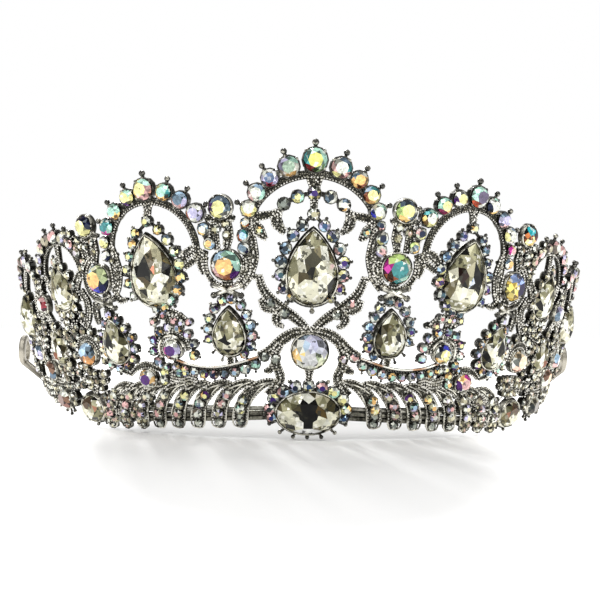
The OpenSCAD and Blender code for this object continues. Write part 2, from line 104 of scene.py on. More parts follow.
def placeOn(th, v, w=0.0, turn=0.0, size=1.0, tall=None, swing=0.0):
    # local X runs along the crown, Y up it and Z out of it, in mm; swing turns it toward the front
    turned = turnBy(th, "Z") @ turnBy(90 + leanAt(v), "X")
    if swing:
        turned = turned @ turnBy(-swing if th > 0 else swing, "Y")
    scaled = Matrix.Diagonal((size * mm, size * mm, (tall or size) * mm, 1))
    return Matrix.Translation(onCrown(th, v, w)) @ turned @ turnBy(turn, "Z") @ scaled


def stepFrom(place, across, up):
    return (place[0] + across / degreeMm(place[1]), place[1] + up)


def offsetFrom(centre, th, v):
    # how far a place is from another one, across and up, in mm
    return (th - centre[0]) * degreeMm(v), v - centre[1]


def deselectAll():
    if bpy.context.object and bpy.context.object.mode != "OBJECT":
        bpy.ops.object.mode_set(mode="OBJECT")
    bpy.ops.object.select_all(action="DESELECT")


class Socket:
    # a shader socket that takes Python sums
    def __init__(self, tree, out):
        self.tree = tree
        self.out = out

    def part(self, name):
        # another output of the same node
        return Socket(self.tree, self.out.node.outputs[name])

    def maths(self, operation, first, second):
        return addNode(self.tree, "ShaderNodeMath", {"operation": operation}, i0=first, i1=second)

    def __add__(self, other):
        return self.maths("ADD", self, other)

    def __radd__(self, other):
        return self.maths("ADD", other, self)

    def __sub__(self, other):
        return self.maths("SUBTRACT", self, other)

    def __rsub__(self, other):
        return self.maths("SUBTRACT", other, self)

    def __mul__(self, other):
        return self.maths("MULTIPLY", self, other)

    def __rmul__(self, other):
        return self.maths("MULTIPLY", other, self)

    def __pow__(self, other):
        return self.maths("POWER", self, other)

    def __rpow__(self, other):
        return self.maths("POWER", other, self)

    def __lt__(self, other):
        return self.maths("LESS_THAN", self, other)

    def __gt__(self, other):
        return self.maths("GREATER_THAN", self, other)


def feed(tree, node, **sockets):
    # values or links for a node's sockets, by name, or by number as i0, i1 and so on
    for key, value in sockets.items():
        numbered = key[0] == "i" and key[1:].isdigit()
        socket = node.inputs[int(key[1:]) if numbered else key.replace("_", " ")]
        if isinstance(value, Socket):
            tree.links.new(value.out, socket)
        else:
            socket.default_value = value


def addNode(tree, kind, settings=None, out=0, **sockets):
    # any node: its settings first, then its sockets; what comes back is one of its outputs
    node = tree.nodes.new(kind)
    for key, value in (settings or {}).items():
        setattr(node, key, value)
    feed(tree, node, **sockets)
    return Socket(tree, node.outputs[out])


print("camera and light")

# The camera stands where the photograph was taken from
view = {
    "distance": 311,
    "height": 27.2,
    "azimuth": 2.4,
    "roll": 1.0,
    "lens": 60,
    "shift": (0.0064, 0.0417),
}
turnLeft = math.radians(view["azimuth"])
bpy.ops.object.camera_add()
camera = bpy.context.object
camera.name = "Camera"
camera.matrix_world = (
    Matrix.Translation(Vector((
        -view["distance"] * math.sin(turnLeft),
        crown["planShift"] - view["distance"] * math.cos(turnLeft),
        view["height"],
    )) * mm)
    @ Matrix.Rotation(-turnLeft, 4, "Z")
    @ turnBy(90, "X")
    @ turnBy(view["roll"], "Z")
)
camera.data.lens = view["lens"]
camera.data.sensor_width = 36
camera.data.shift_x, camera.data.shift_y = view["shift"]
camera.data.clip_start = 0.005
bpy.context.scene.camera = camera

# A white sweep: a tall narrow window high behind throws the crown's shadow forward in streaks, and soft
# boxes and a pale room fill the rest
studio = {
    "boxes": [  # place, turn, size and power
        ((-0.14, 0.7625, 0.90), (-39.8, 0, 10.6), (0.06, 0.95), 7.4),
        ((-0.45, -0.55, 0.45), (52, 0, -40), (0.5, 0.35), 1.1),
        ((0.50, -0.50, 0.30), (62, 0, 45), (0.25, 0.4), 0.7),
        ((0.0, -0.30, 0.75), (22, 0, 0), (0.6, 0.25), 2.1),
    ],
    "roomTint": (1, 0.99, 0.97, 1),
    "roomLight": 0.31,
    # the floor's painted glow: its strength, and the middle, stretch and distances of the ring round the
    # crown over which it fades in
    "farGlow": 0.75,
    "glowMiddle": (-0.004, -0.0425, 0),
    "glowStretch": (1.37, 0.55, 1),
    "glowReach": (0.048, 0.078),
    "ground": 6.0,
}

deselectAll()
for place, turn, size, power in studio["boxes"]:
    bpy.ops.object.light_add(type="AREA", location=place, rotation=[math.radians(t) for t in turn])
    softBox = bpy.context.object
    softBox.data.shape = "RECTANGLE"
    softBox.data.size, softBox.data.size_y = size
    softBox.data.energy = power

world = bpy.data.worlds.new("Studio")
bpy.context.scene.world = world
world.use_nodes = True
room = world.node_tree
roomLight = room.nodes["Background"]
feed(room, roomLight, Color=studio["roomTint"], Strength=studio["roomLight"])
seenDirect = addNode(room, "ShaderNodeLightPath", out="Is Camera Ray")
whiteWall = addNode(room, "ShaderNodeBackground", Color=(1, 1, 1, 1), Strength=1.0)
roomMix = addNode(room, "ShaderNodeMixShader", Fac=seenDirect, i1=Socket(room, roomLight.outputs[0]),
                  i2=whiteWall)
feed(room, room.nodes["World Output"], Surface=roomMix)
bpy.context.scene.view_settings.view_transform = "Standard"

print("materials")


def newMaterial(name):
    made = bpy.data.materials.new(name)
    made.use_nodes = True
    return made, addNode(made.node_tree, "ShaderNodeTexCoord", out="Object")


def shadeWith(made, **sockets):
    feed(made.node_tree, made.node_tree.nodes["Principled BSDF"], **sockets)
    return made


def noise(place, scale, detail, roughness=0.5):
    return addNode(place.tree, "ShaderNodeTexNoise", Vector=place, Scale=scale, Detail=detail,
                   Roughness=roughness)


def easeBetween(value, low, high):
    return addNode(value.tree, "ShaderNodeMapRange", {"interpolation_type": "SMOOTHSTEP"},
                   Value=value, From_Min=low, From_Max=high)


def blend(factor, *colours):
    # two colours, each a tint or a socket
    first, second = [(*c, 1) if isinstance(c, tuple) else c for c in colours]
    return addNode(factor.tree, "ShaderNodeMix", {"data_type": "RGBA"}, out=2, i0=factor, i6=first,
                   i7=second)


def marks(height, strength, depth=0.0001):
    return addNode(height.tree, "ShaderNodeBump", Height=height, Strength=strength, Distance=depth)


# The castings' back: its radius over the height, and how much of a step out stands square to it
backCurve = {"rise": 0.2867, "curl": 0.001067, "slant": 0.978}


def heightOverBack(place):
    # how far a point stands out from the castings' back, in mm, from its place alone
    split = addNode(place.tree, "ShaderNodeSeparateXYZ", Vector=place)
    x, y, z = (split.part(i) * 1000 for i in range(3))
    y = y - crown["planShift"]
    z = z - crown["footRise"]
    reach = (x * x + y * y) ** 0.5
    back = crown["baseRadius"] + z * backCurve["rise"] - z * z * backCurve["curl"]
    return (reach - back) * backCurve["slant"]


silver = {
    "bright": (0.84, 0.82, 0.72),
    "warm": (0.36, 0.34, 0.25),
    # the near black that stands for patina and painted shade in hollows
    "tarnishAndShade": (0.008, 0.008, 0.006),
    "back": ((0.16, 0.155, 0.13), (0.42, 0.41, 0.35)),
    "grainMm": 0.5,
}


def withPlainBack(place, metal):
    # the castings' backs: plain matt silver, left as they came from the mould
    plainBack = blend(easeBetween(noise(place, 900, 4), 0.36, 0.64), *silver["back"])
    return blend(easeBetween(heightOverBack(place), 0.16, 0.4), plainBack, metal)


def makeGrainedSilver():
    # the ground of the castings: granulated, and near black between the grains and low down, partly patina
    # and partly painted shade
    made, place = newMaterial("GrainedSilver")
    cells = {"Vector": place, "Scale": 1000 / silver["grainMm"], "Randomness": 0.8}
    dome = 1 - addNode(place.tree, "ShaderNodeTexVoronoi", {"feature": "F1"}, **cells)
    crack = addNode(place.tree, "ShaderNodeTexVoronoi", {"feature": "DISTANCE_TO_EDGE"}, **cells)
    gap = easeBetween(crack, 0.06, 0.3)
    # painted shade and patina: near black in the cracks between grains and low down over the castings' back;
    # the grain tops keep the worn silver
    clearOfShadeAndPatina = gap * easeBetween(heightOverBack(place), 0.5, 1.4)
    worn = easeBetween(noise(place, 420, 3), 0.38, 0.66)
    metal = blend(clearOfShadeAndPatina, silver["tarnishAndShade"], blend(worn, silver["warm"], silver["bright"]))
    return shadeWith(made, Base_Color=withPlainBack(place, metal), Roughness=0.6 - clearOfShadeAndPatina * 0.3,
                     Metallic=0.65, Normal=marks(dome * gap, 0.9, 0.00035))


# The other silvers: the noise that wears each one, its dark and light tints, how its roughness changes with
# wear, and where it has them, the heights over which it comes clear of its painted shade and patina or sinks
# into painted shade, its coat and its fine marks
finishes = {
    # beaded lines, painted dark on the lower part of each bead where it sinks into the ground: painted shade
    # and patina
    "RopeSilver": {"noise": (1100, 2), "wear": (0.32, 0.58), "rough": (0.36, -0.12), "metallic": 0.6,
                   "tints": ((0.42, 0.40, 0.32), (0.99, 0.97, 0.90)), "sunk": (1.16, 1.42)},
    # cups, blackened, with the polish left on the top edges; low down they stay dark, partly patina and
    # partly painted shade
    "DarkSilver": {"noise": (800, 3), "wear": (0.40, 0.64), "rough": (0.36, -0.14), "metallic": 0.9,
                   "tints": ((0.018, 0.017, 0.013), (0.66, 0.64, 0.54)), "shadeAndPatinaBelow": (1.2, 2.2),
                   "coat": (0.35, 0.08)},
    # the walls round the large stones, rubbed bright along the edge and darker low down, partly patina and
    # partly painted shade
    "BezelSilver": {"noise": (600, 3), "wear": (0.36, 0.6), "rough": (0.34, -0.14), "metallic": 0.8,
                    "tints": ((0.04, 0.038, 0.03), (0.74, 0.72, 0.62)), "shadeAndPatinaBelow": (0.5, 1.7)},
    # prongs and their balls, black and polished so that each ball holds a hard highlight
    "ProngSilver": {"noise": (900, 2), "wear": (0.5, 0.68), "rough": (0.14, 0.1), "metallic": 0.95,
                    "tints": ((0.04, 0.038, 0.03), (0.5, 0.48, 0.40)), "coat": (1.0, 0.04)},
    # plain wires and rods, bright with dark marks
    "PolishedSilver": {"noise": (500, 3), "wear": (0.34, 0.6), "rough": (0.34, -0.16), "metallic": 0.95,
                       "tints": ((0.07, 0.066, 0.05), (0.88, 0.86, 0.76))},
    # the swags' plain edge, with a coppery sheen where the plate is thin
    "CopperSilver": {"noise": (260, 2), "wear": (0.42, 0.58), "rough": (0.2, 0.1), "metallic": 0.95,
                     "tints": ((0.80, 0.79, 0.72), (0.46, 0.27, 0.16))},
    # drawn bar, satin and darkened, with fine marks round it
    "BarSilver": {"noise": (700, 4, 0.65), "wear": (0.36, 0.66), "rough": (0.5, -0.22), "metallic": 0.95,
                  "tints": ((0.035, 0.034, 0.028), (0.28, 0.27, 0.22)), "marks": (3000, 0.2)},
}
finishes["RailSilver"] = {**finishes["BarSilver"], "tints": ((0.16, 0.155, 0.13), (0.52, 0.51, 0.45))}


def makeSilver(name):
    finish = finishes[name]
    made, place = newMaterial(name)
    worn = easeBetween(noise(place, *finish["noise"]), *finish["wear"])
    # painted shade and patina: below these heights over the castings' back the worn tints fade to the dark
    # one
    if "shadeAndPatinaBelow" in finish:
        worn = worn * easeBetween(heightOverBack(place), *finish["shadeAndPatinaBelow"])
    metal = blend(worn, *finish["tints"])
    if "shadeAndPatinaBelow" in finish:
        metal = withPlainBack(place, metal)
    # painted shade: the lower part of each bead fades to near black where it meets the ground
    if "sunk" in finish:
        metal = blend(easeBetween(heightOverBack(place), *finish["sunk"]), silver["tarnishAndShade"], metal)
    if "coat" in finish:
        shadeWith(made, Coat_Weight=finish["coat"][0], Coat_Roughness=finish["coat"][1])
    if "marks" in finish:
        scale, strength = finish["marks"]
        shadeWith(made, Normal=marks(noise(place, scale, 2), strength))
    roughness, change = finish["rough"]
    return shadeWith(made, Base_Color=metal, Roughness=roughness + worn * change,
                     Metallic=finish["metallic"])


def makeLoopSilver():
    # the end loops: smooth drawn wire, mid grey, and darker lower down the shank, below about 19 mm up
    made, place = newMaterial("LoopSilver")
    height = addNode(place.tree, "ShaderNodeSeparateXYZ", out="Z", Vector=place) * 1000
    clouds = noise(place, 350, 3)
    tone = easeBetween(height + clouds * 4, 11, 19)
    return shadeWith(made, Base_Color=blend(tone, (0.10, 0.09, 0.07), (0.46, 0.43, 0.36)),
                     Roughness=0.42 - clouds * 0.16, Metallic=0.8, Normal=marks(noise(place, 2600, 2), 0.12))


def chanceIn(place, scale, channel, distance="EUCLIDEAN"):
    # a chance number for each small cell of the glass
    cells = addNode(place.tree, "ShaderNodeTexVoronoi", {"feature": "F1", "distance": distance}, out="Color",
                    Vector=place, Scale=scale)
    return addNode(place.tree, "ShaderNodeSeparateColor", out=channel, Color=cells)


def makeCrystal(name, glow, filmNm, coat, shards):
    # foil-backed glass: each facet holds a painted reflection of what the foil throws back through it,
    # broken up by small painted dark shards and bright painted glints
    made, place = newMaterial(name)
    tint = addNode(place.tree, "ShaderNodeVertexColor", {"layer_name": "tint"})
    # painted reflections: random darker cells, dark shards and bright glints laid over the facet tints
    deep = easeBetween(chanceIn(place, 900, 0), 0.0, 0.35)
    shard = chanceIn(place, 1250, 1, "CHEBYCHEV")
    light = addNode(place.tree, "ShaderNodeSeparateColor", out=1, Color=tint)
    dark = (shard < 0.1 * shards) * 0.85
    bright = (shard > 1 - 0.14 * shards) * easeBetween(light, 0.04, 0.3) * 0.8
    shaded = blend(0.3 - deep * 0.3, tint, (0.03, 0.03, 0.025))
    shaded = blend(bright, blend(dark, shaded, (0.03, 0.03, 0.02)), (0.98, 0.97, 0.90))
    # painted glow: the facet tints also give off light by emission, though the glass is no lamp
    return shadeWith(made, Base_Color=shaded, Emission_Color=blend(dark, tint, (0.03, 0.03, 0.02)),
                     Emission_Strength=glow, Roughness=0.06, Metallic=0.35, IOR=1.52, Specular_IOR_Level=0.3,
                     Coat_Weight=coat, Coat_Roughness=0.02, Thin_Film_Thickness=filmNm)


grainedSilver = makeGrainedSilver()
ropeSilver = makeSilver("RopeSilver")
darkSilver = makeSilver("DarkSilver")
bezelSilver = makeSilver("BezelSilver")
prongSilver = makeSilver("ProngSilver")
polishedSilver = makeSilver("PolishedSilver")
copperSilver = makeSilver("CopperSilver")
barSilver = makeSilver("BarSilver")
railSilver = makeSilver("RailSilver")
loopSilver = makeLoopSilver()
champagneGlass = makeCrystal("ChampagneCrystal", 0.18, 0, 0.2, 1.0)
rainbowGlass = makeCrystal("RainbowCrystal", 0.24, 380, 0.5, 0.3)


def makeFloorWhite():
    # white paper that glows by emission, not at all near the crown and more further off: painted light that
    # lifts the floor to white away from the crown, so that the crown's shadow shows only close in front and
    # the paper meets the white wall without an edge
    made, place = newMaterial("PaleFloor")
    tree = place.tree
    off = addNode(tree, "ShaderNodeVectorMath", {"operation": "SUBTRACT"}, i0=place, i1=studio["glowMiddle"])
    flat = addNode(tree, "ShaderNodeVectorMath", {"operation": "MULTIPLY"}, i0=off, i1=studio["glowStretch"])
    far = addNode(tree, "ShaderNodeVectorMath", {"operation": "LENGTH"}, out="Value", i0=flat)
    glow = easeBetween(far, *studio["glowReach"]) * studio["farGlow"]
    grey = addNode(tree, "ShaderNodeCombineColor", Red=glow, Green=glow, Blue=glow)
    return shadeWith(made, Base_Color=blend(noise(place, 6, 2), (0.93, 0.93, 0.93), (0.97, 0.97, 0.97)),
                     Emission_Color=grey, Emission_Strength=1.0, Roughness=0.9, Specular_IOR_Level=0.1)


deselectAll()
bpy.ops.mesh.primitive_plane_add(size=studio["ground"], location=(0, 0, 0))
ground = bpy.context.object
ground.name = "Floor"
ground.data.materials.append(makeFloorWhite())

print("templates")


def selectOnly(parts):
    deselectAll()
    for part in parts:
        part.select_set(True)
    bpy.context.view_layer.objects.active = parts[0]


def joinSelected(parts):
    selectOnly(parts)
    if len(parts) > 1:
        bpy.ops.object.join()
    return bpy.context.object


def nameAll(made, name):
    made.name = made.data.name = name


def giveMaterial(made, material):
    made.data.materials.clear()
    made.data.materials.append(material)


def finishTemplate():
    # what repeats is modelled once, kept as its corners and faces, and taken out of the scene
    made = bpy.context.object
    if made.mode != "OBJECT":
        bpy.ops.object.mode_set(mode="OBJECT")
    bpy.ops.object.transform_apply(location=True, rotation=True, scale=True)
    corners = [v.co.copy() for v in made.data.vertices]
    faces = [list(p.vertices) for p in made.data.polygons]
    bpy.data.objects.remove(made)
    return {"corners": corners, "faces": faces}


def selectFaces(made, test):
    # picks faces by their place and normal
    bpy.ops.object.mode_set(mode="EDIT")
    bpy.ops.mesh.select_all(action="DESELECT")
    bpy.ops.mesh.select_mode(type="FACE")
    bpy.ops.object.mode_set(mode="OBJECT")
    for face in made.data.polygons:
        face.select = test(face)
    bpy.ops.object.mode_set(mode="EDIT")


# A small cup of unit radius: a wall with a sunk floor, and four claws on its rim
cup = {
    "outer": 1.13,
    "tall": 1.0,
    "wall": 0.1,
    "sink": 0.32,
    "sides": 12,
    "claws": 4,
    "clawSize": 0.2,
    "clawReach": 1.03,
    "clawRise": 1.08,
}


def makeCup():
    deselectAll()
    bpy.ops.mesh.primitive_cylinder_add(vertices=cup["sides"], radius=cup["outer"], depth=cup["tall"],
                                        location=(0, 0, cup["tall"] / 2))
    body = bpy.context.object
    selectFaces(body, lambda face: face.normal.z > 0.9)
    bpy.ops.mesh.inset(thickness=cup["wall"])
    bpy.ops.mesh.extrude_region_move(TRANSFORM_OT_translate={"value": (0, 0, -cup["sink"])})
    bpy.ops.object.mode_set(mode="OBJECT")
    parts = [body]
    for k in range(cup["claws"]):
        a = math.radians(45 + 360 * k / cup["claws"])
        place = (cup["clawReach"] * math.cos(a), cup["clawReach"] * math.sin(a), cup["clawRise"])
        bpy.ops.mesh.primitive_ico_sphere_add(subdivisions=1, radius=cup["clawSize"], location=place)
        parts.append(bpy.context.object)
    joinSelected(parts)
    return finishTemplate()


def makeBead():
    deselectAll()
    bpy.ops.mesh.primitive_ico_sphere_add(subdivisions=1, radius=1)
    return finishTemplate()


# A prong is a ball at its tip and a neck that runs back from it along -X
def makeBall():
    deselectAll()
    bpy.ops.mesh.primitive_uv_sphere_add(segments=8, ring_count=6, radius=1)
    return finishTemplate()


def makeNeck():
    deselectAll()
    bpy.ops.mesh.primitive_cone_add(vertices=6, radius1=1, radius2=0.7, depth=1, location=(-0.5, 0, 0),
                                    rotation=(0, math.radians(90), 0))
    return finishTemplate()


def makePad():
    # the dark ground under loose grains: a flattened ball with a sunk middle
    deselectAll()
    bpy.ops.mesh.primitive_uv_sphere_add(segments=12, ring_count=6, radius=1)
    made = bpy.context.object
    bpy.ops.object.mode_set(mode="EDIT")
    bpy.ops.mesh.select_all(action="SELECT")
    bpy.ops.transform.resize(value=(1, 0.8, 0.6))
    selectFaces(made, lambda face: face.center.z > 0.45)
    bpy.ops.mesh.inset(thickness=0.12)
    bpy.ops.transform.translate(value=(0, 0, -0.2))
    return finishTemplate()


cupShape = makeCup()
beadShape = makeBead()
ballShape = makeBall()
neckShape = makeNeck()
padShape = makePad()


def meshFrom(name, corners, faces, material, tints=None, smooth=False):
    # a mesh as a new object; a stone's facets get their tints, painted reflections, a little lighter or
    # darker at random at each corner
    made = bpy.data.meshes.new(name)
    made.from_pydata(corners, [], faces)
    made.materials.append(material)
    if tints is not None:
        layer = made.color_attributes.new(name="tint", type="FLOAT_COLOR", domain="CORNER")
        spread = []
        shade = random.Random(len(corners))
        for face, colour in zip(made.polygons, tints):
            for _ in range(face.loop_total):
                light = shade.uniform(0.8, 1.15)
                spread.extend([*(min(1, c * light) for c in colour), 1.0])
        layer.data.foreach_set("color", spread)
    made.polygons.foreach_set("use_smooth", [smooth] * len(made.polygons))
    made.update()
    made.validate()
    return linkToScene(name, made)


def linkToScene(name, data):
    made = bpy.data.objects.new(name, data)
    bpy.context.scene.collection.objects.link(made)
    return made


def addCopy(corners, faces, shape, place):
    # one copy of a shape, added to the corners and faces of a growing mesh
    start = len(corners)
    corners.extend(place @ c for c in shape["corners"])
    faces.extend([start + i for i in face] for face in shape["faces"])


def stamp(name, shape, places, material, smooth=True):
    corners, faces = [], []
    for place in places:
        addCopy(corners, faces, shape, place)
    return meshFrom(name, corners, faces, material, smooth=smooth)


def between(points, i, u):
    a, b = points[max(i - 1, 0)], points[i]
    c, d = points[i + 1], points[min(i + 2, len(points) - 1)]
    return tuple(
        0.5 * (2 * b[k] + u * (c[k] - a[k]) + u * u * (2 * a[k] - 5 * b[k] + 4 * c[k] - d[k])
               + u ** 3 * (3 * b[k] - a[k] - 3 * c[k] + d[k]))
        for k in (0, 1)
    )


def smoothRoute(points, gap=0.7):
    # a smooth line through a few places, with a point about every gap mm
    route = []
    for i, (a, b) in enumerate(zip(points, points[1:])):
        length = math.hypot((b[0] - a[0]) * crown["flatDegree"], b[1] - a[1])
        steps = max(2, round(length / gap))
        route.extend(between(points, i, k / steps) for k in range(steps))
    route.append(tuple(points[-1]))
    return route


def arcRoute(centre, radius, start, end, steps):
    turns = [math.radians(start + (end - start) * i / steps) for i in range(steps + 1)]
    return [stepFrom(centre, radius * math.sin(a), radius * math.cos(a)) for a in turns]


def widthAt(widths, u):
    a, b, c = widths
    return a + (b - a) * 2 * u if u < 0.5 else b + (c - b) * (2 * u - 1)


# Bands of casting: drawn flat as curves with a ribbed ribbon section, thickened, then bent to the crown
band = {
    "section": [(-1, -0.12), (-0.88, 0.06), (-0.6, 0.0), (0, 0.1), (0.6, 0.0), (0.88, 0.06), (1, -0.12)],
    "thick": 1.0,
    "top": 1.15,
    "ropeSize": 0.3,
    "ropeGap": 0.7,
    "ropeSpread": 0.68,
    "ropeReach": 0.86,
    "ropeInner": 0.8,  # rows nearer the middle than this lie deeper and less evenly
    "ropeCalm": 0.4,
    "ropeLifts": (0.06, 0.14),
}


def drawCurve(name, places, **settings):
    curve = bpy.data.curves.new(name, "CURVE")
    for key, value in settings.items():
        setattr(curve, key, value)
    spline = curve.splines.new("POLY")
    spline.points.add(len(places) - 1)
    for point, place in zip(spline.points, places):
        point.co = (*place, 1)
    return linkToScene(name, curve)


def flatPlaces(route, top, side):
    return [(th * crown["flatDegree"] * side, v, top) for th, v in route]


bandSection = drawCurve("bandSection", [(x, y, 0) for x, y in band["section"]], dimensions="2D")


def drawBand(route, widths, top, side):
    made = drawCurve("band", flatPlaces(route, top, side), dimensions="3D", twist_mode="Z_UP",
                     bevel_mode="OBJECT", bevel_object=bandSection)
    for i, point in enumerate(made.data.splines[0].points):
        point.radius = widthAt(widths, i / (len(route) - 1)) / 2
    return made


def drawWire(route, radius, top, side):
    return drawCurve("wire", flatPlaces(route, top, side), dimensions="3D", bevel_depth=radius,
                     bevel_resolution=1, use_fill_caps=True)


def meshOf(name, drawn):
    # the drawn curves as one mesh
    selectOnly(drawn)
    bpy.ops.object.convert(target="MESH")
    made = joinSelected(list(bpy.context.selected_objects))
    nameAll(made, name)
    return made


def bendToCrown(made, material):
    for vertex in made.data.vertices:
        x, y, z = vertex.co
        vertex.co = onCrown(x / crown["flatDegree"], y, z)
    made.data.update()
    giveMaterial(made, material)
    return made


def makeWires(wires, material):
    # wires is a list of (route, radius, top, side): round wire drawn flat and bent with the rest
    made = meshOf("wires", [drawWire(*one) for one in wires])
    bpy.ops.object.shade_smooth()
    return bendToCrown(made, material)


def makeBands(name, bands):
    # bands is a list of (route, widths, top, side)
    made = meshOf(name, [drawBand(*one) for one in bands])
    bpy.ops.object.mode_set(mode="EDIT")
    bpy.ops.mesh.select_all(action="SELECT")
    bpy.ops.mesh.normals_make_consistent(inside=False)
    bpy.ops.object.mode_set(mode="OBJECT")
    for face in made.data.polygons:
        if face.normal.z < 0:
            face.flip()
    made.data.update()
    thicken = made.modifiers.new("Thickness", "SOLIDIFY")
    thicken.thickness = band["thick"]
    thicken.offset = -1
    bpy.ops.object.modifier_apply(modifier=thicken.name)
    return bendToCrown(made, grainedSilver)


def ropePlaces(route, widths, top, side, rough, dice, edges=None):
    # rows of beads along a band, as many as its width takes
    if edges is None:
        rows = max(2, round(sum(widths) / 3 / band["ropeSpread"]))
        edges = [-band["ropeReach"] + 2 * band["ropeReach"] * row / (rows - 1) for row in range(rows)]
    places = []
    for edge in edges:
        inner = abs(edge) < band["ropeInner"]
        lift = band["ropeLifts"][0 if inner else 1]
        shake = rough if inner else rough * band["ropeCalm"]
        run, last = band["ropeGap"] * dice.random(), None
        for i in range(len(route)):
            a, b = route[max(i - 1, 0)], route[min(i + 1, len(route) - 1)]
            dx, dy = (b[0] - a[0]) * degreeMm(route[i][1]), b[1] - a[1]
            length = math.hypot(dx, dy) or 1
            reach = edge * widthAt(widths, i / (len(route) - 1)) / 2
            here = stepFrom(route[i], -dy / length * reach, dx / length * reach)
            if last is not None:
                d = math.hypot((here[0] - last[0]) * degreeMm(here[1]), here[1] - last[1])
                while run < d:
                    u = run / d
                    spot = stepFrom((last[0] + (here[0] - last[0]) * u, last[1] + (here[1] - last[1]) * u),
                                    dice.uniform(-shake, shake), dice.uniform(-shake, shake))
                    size = band["ropeSize"] * dice.uniform(1 - rough, 1 + rough)
                    places.append(placeOn(spot[0] * side, spot[1], top + lift, 0, size))
                    run += band["ropeGap"]
                run -= d
            last = here
    return places


print("stones")

# How the large stones are cut: each ring of corners as a part of the outline, and heights in mm
cut = {
    "play": 0.1,  # how much smaller than its seat a stone is
    "heartDrop": -0.15,  # how far below its middle a pear is widest, in lengths
    "back": 0.92,
    "girdleZ": 0.8,
    "mid": 0.84,
    "midRise": 0.62,  # a part of the height over the girdle
    "table": 0.62,
    "heart": 0.32,
    "seatLift": 1.12,
    "rowLift": 1.05,
    "pearTall": 0.2,  # the height over the girdle, as a part of the width
    "roundTall": 0.24,
}


def rimAt(t, w, l, full):
    # a point on the outline of a pear (full over 0) or of an oval or round one
    a = math.radians(t)
    fat = math.sin(a) * (math.sin(a / 2) ** full if full > 0 else 1) if t % 360 else 0.0
    return w / 2 / (pearWidest if full > 0 else 1) * fat, l / 2 * math.cos(a)


pearFullness = 0.7
halfTurns = [math.radians(t) for t in range(90, 131)]
pearWidest = max(math.sin(a) * math.sin(a / 2) ** pearFullness for a in halfTurns)


def evenTurns(w, l, full, count):
    # turns from the top that share the outline out evenly
    stride = 3
    fine = [rimAt(t, w, l, full) for t in range(0, 361, stride)]
    run = [0.0]
    for a, b in zip(fine, fine[1:]):
        run.append(run[-1] + math.hypot(b[0] - a[0], b[1] - a[1]))
    turns = []
    for i in range(count):
        want = run[-1] * i / count
        k = next(j for j in range(1, len(run)) if run[j] >= want)
        turns.append(stride * (k - 1 + (want - run[k - 1]) / (run[k] - run[k - 1])))
    return turns


def cutStone(w, l, full, cuts, tall):
    # a fancy cut: girdle, main and star facets, and the pavilion's star seen through the table
    low = cut["heartDrop"] * l if full > 0 else 0.0
    turns = evenTurns(w, l, full, 2 * cuts)

    def ring(step, size, z, offset=0):
        points = []
        for i in range(offset, 2 * cuts, step):
            x, y = rimAt(turns[i], w, l, full)
            points.append(Vector((x * size, (y - low) * size + low, z)))
        return points

    topZ = cut["girdleZ"] + tall
    corners = ring(1, cut["back"], 0.0) + ring(1, 1.0, cut["girdleZ"])
    corners += ring(2, cut["mid"], cut["girdleZ"] + cut["midRise"] * tall, 1)
    corners += ring(2, cut["table"], topZ) + ring(2, cut["heart"], topZ, 1) + [Vector((0, low, topZ))]
    n = cuts
    girdle, mid, table, inner, heart = 2 * n, 4 * n, 5 * n, 6 * n, 7 * n
    faces, kinds = [], []

    def add(kind, *corner):
        faces.append(list(corner))
        kinds.append(kind)

    for i in range(2 * n):
        j = (i + 1) % (2 * n)
        add("wall", j, i, girdle + i, girdle + j)
    for i in range(n):
        j, h = (i + 1) % n, (i - 1) % n
        a, b, d = girdle + 2 * i, girdle + 2 * i + 1, girdle + (2 * i + 2) % (2 * n)
        add("half", b, a, mid + i)
        add("half", d, b, mid + i)
        add("kite", a, mid + h, table + i, mid + i)
        add("star", mid + i, table + i, table + j)
        add("table", table + j, table + i, inner + i)
        add("table", table + i, inner + h, inner + i)
        add("heart", inner + i, heart, inner + j)
    add("back", *range(2 * n))
    return {"corners": corners, "faces": faces, "kinds": kinds, "size": (w / 2, l / 2)}


def roundStone(d, cuts=8):
    return cutStone(d - cut["play"], d - cut["play"], 0, cuts, cut["roundTall"] * d)


def facetsOf(stone):
    # each facet's middle, in the stone's half sizes, and its kind
    for face, kind in zip(stone["faces"], stone["kinds"]):
        middle = sum((stone["corners"][i] for i in face), Vector()) / len(face)
        yield middle.x / stone["size"][0], middle.y / stone["size"][1], kind


def lit(tint, light):
    # a tint as the eye sees it, made lighter or darker by a painted light factor, in the shader's linear
    # light
    return tuple(min(1, c * light) ** 2.2 for c in tint)


# Tints of the champagne stones' facets, painted reflections from light to dark, and how often each comes up
champagne = {
    "light": [(0.95, 0.95, 0.89), (0.87, 0.86, 0.77), (0.90, 0.89, 0.79)],
    "mid": [(0.71, 0.69, 0.57), (0.62, 0.61, 0.49), (0.54, 0.53, 0.41)],
    "dark": [(0.36, 0.35, 0.25), (0.27, 0.25, 0.17), (0.41, 0.38, 0.27)],
    "black": [(0.04, 0.04, 0.03), (0.02, 0.02, 0.02), (0.08, 0.08, 0.06)],
    "odds": {"wall": (0, 1, 4, 5), "half": (3, 4, 4, 2.5), "kite": (3, 4, 3, 1.5), "star": (3, 4, 3, 1.2),
             "table": (3, 3, 2, 0.8), "heart": (3, 3, 2, 1), "back": (0, 0, 0, 1)},
    # each facet's painted light, chosen at random between these
    "flicker": (0.9, 1.06),
}


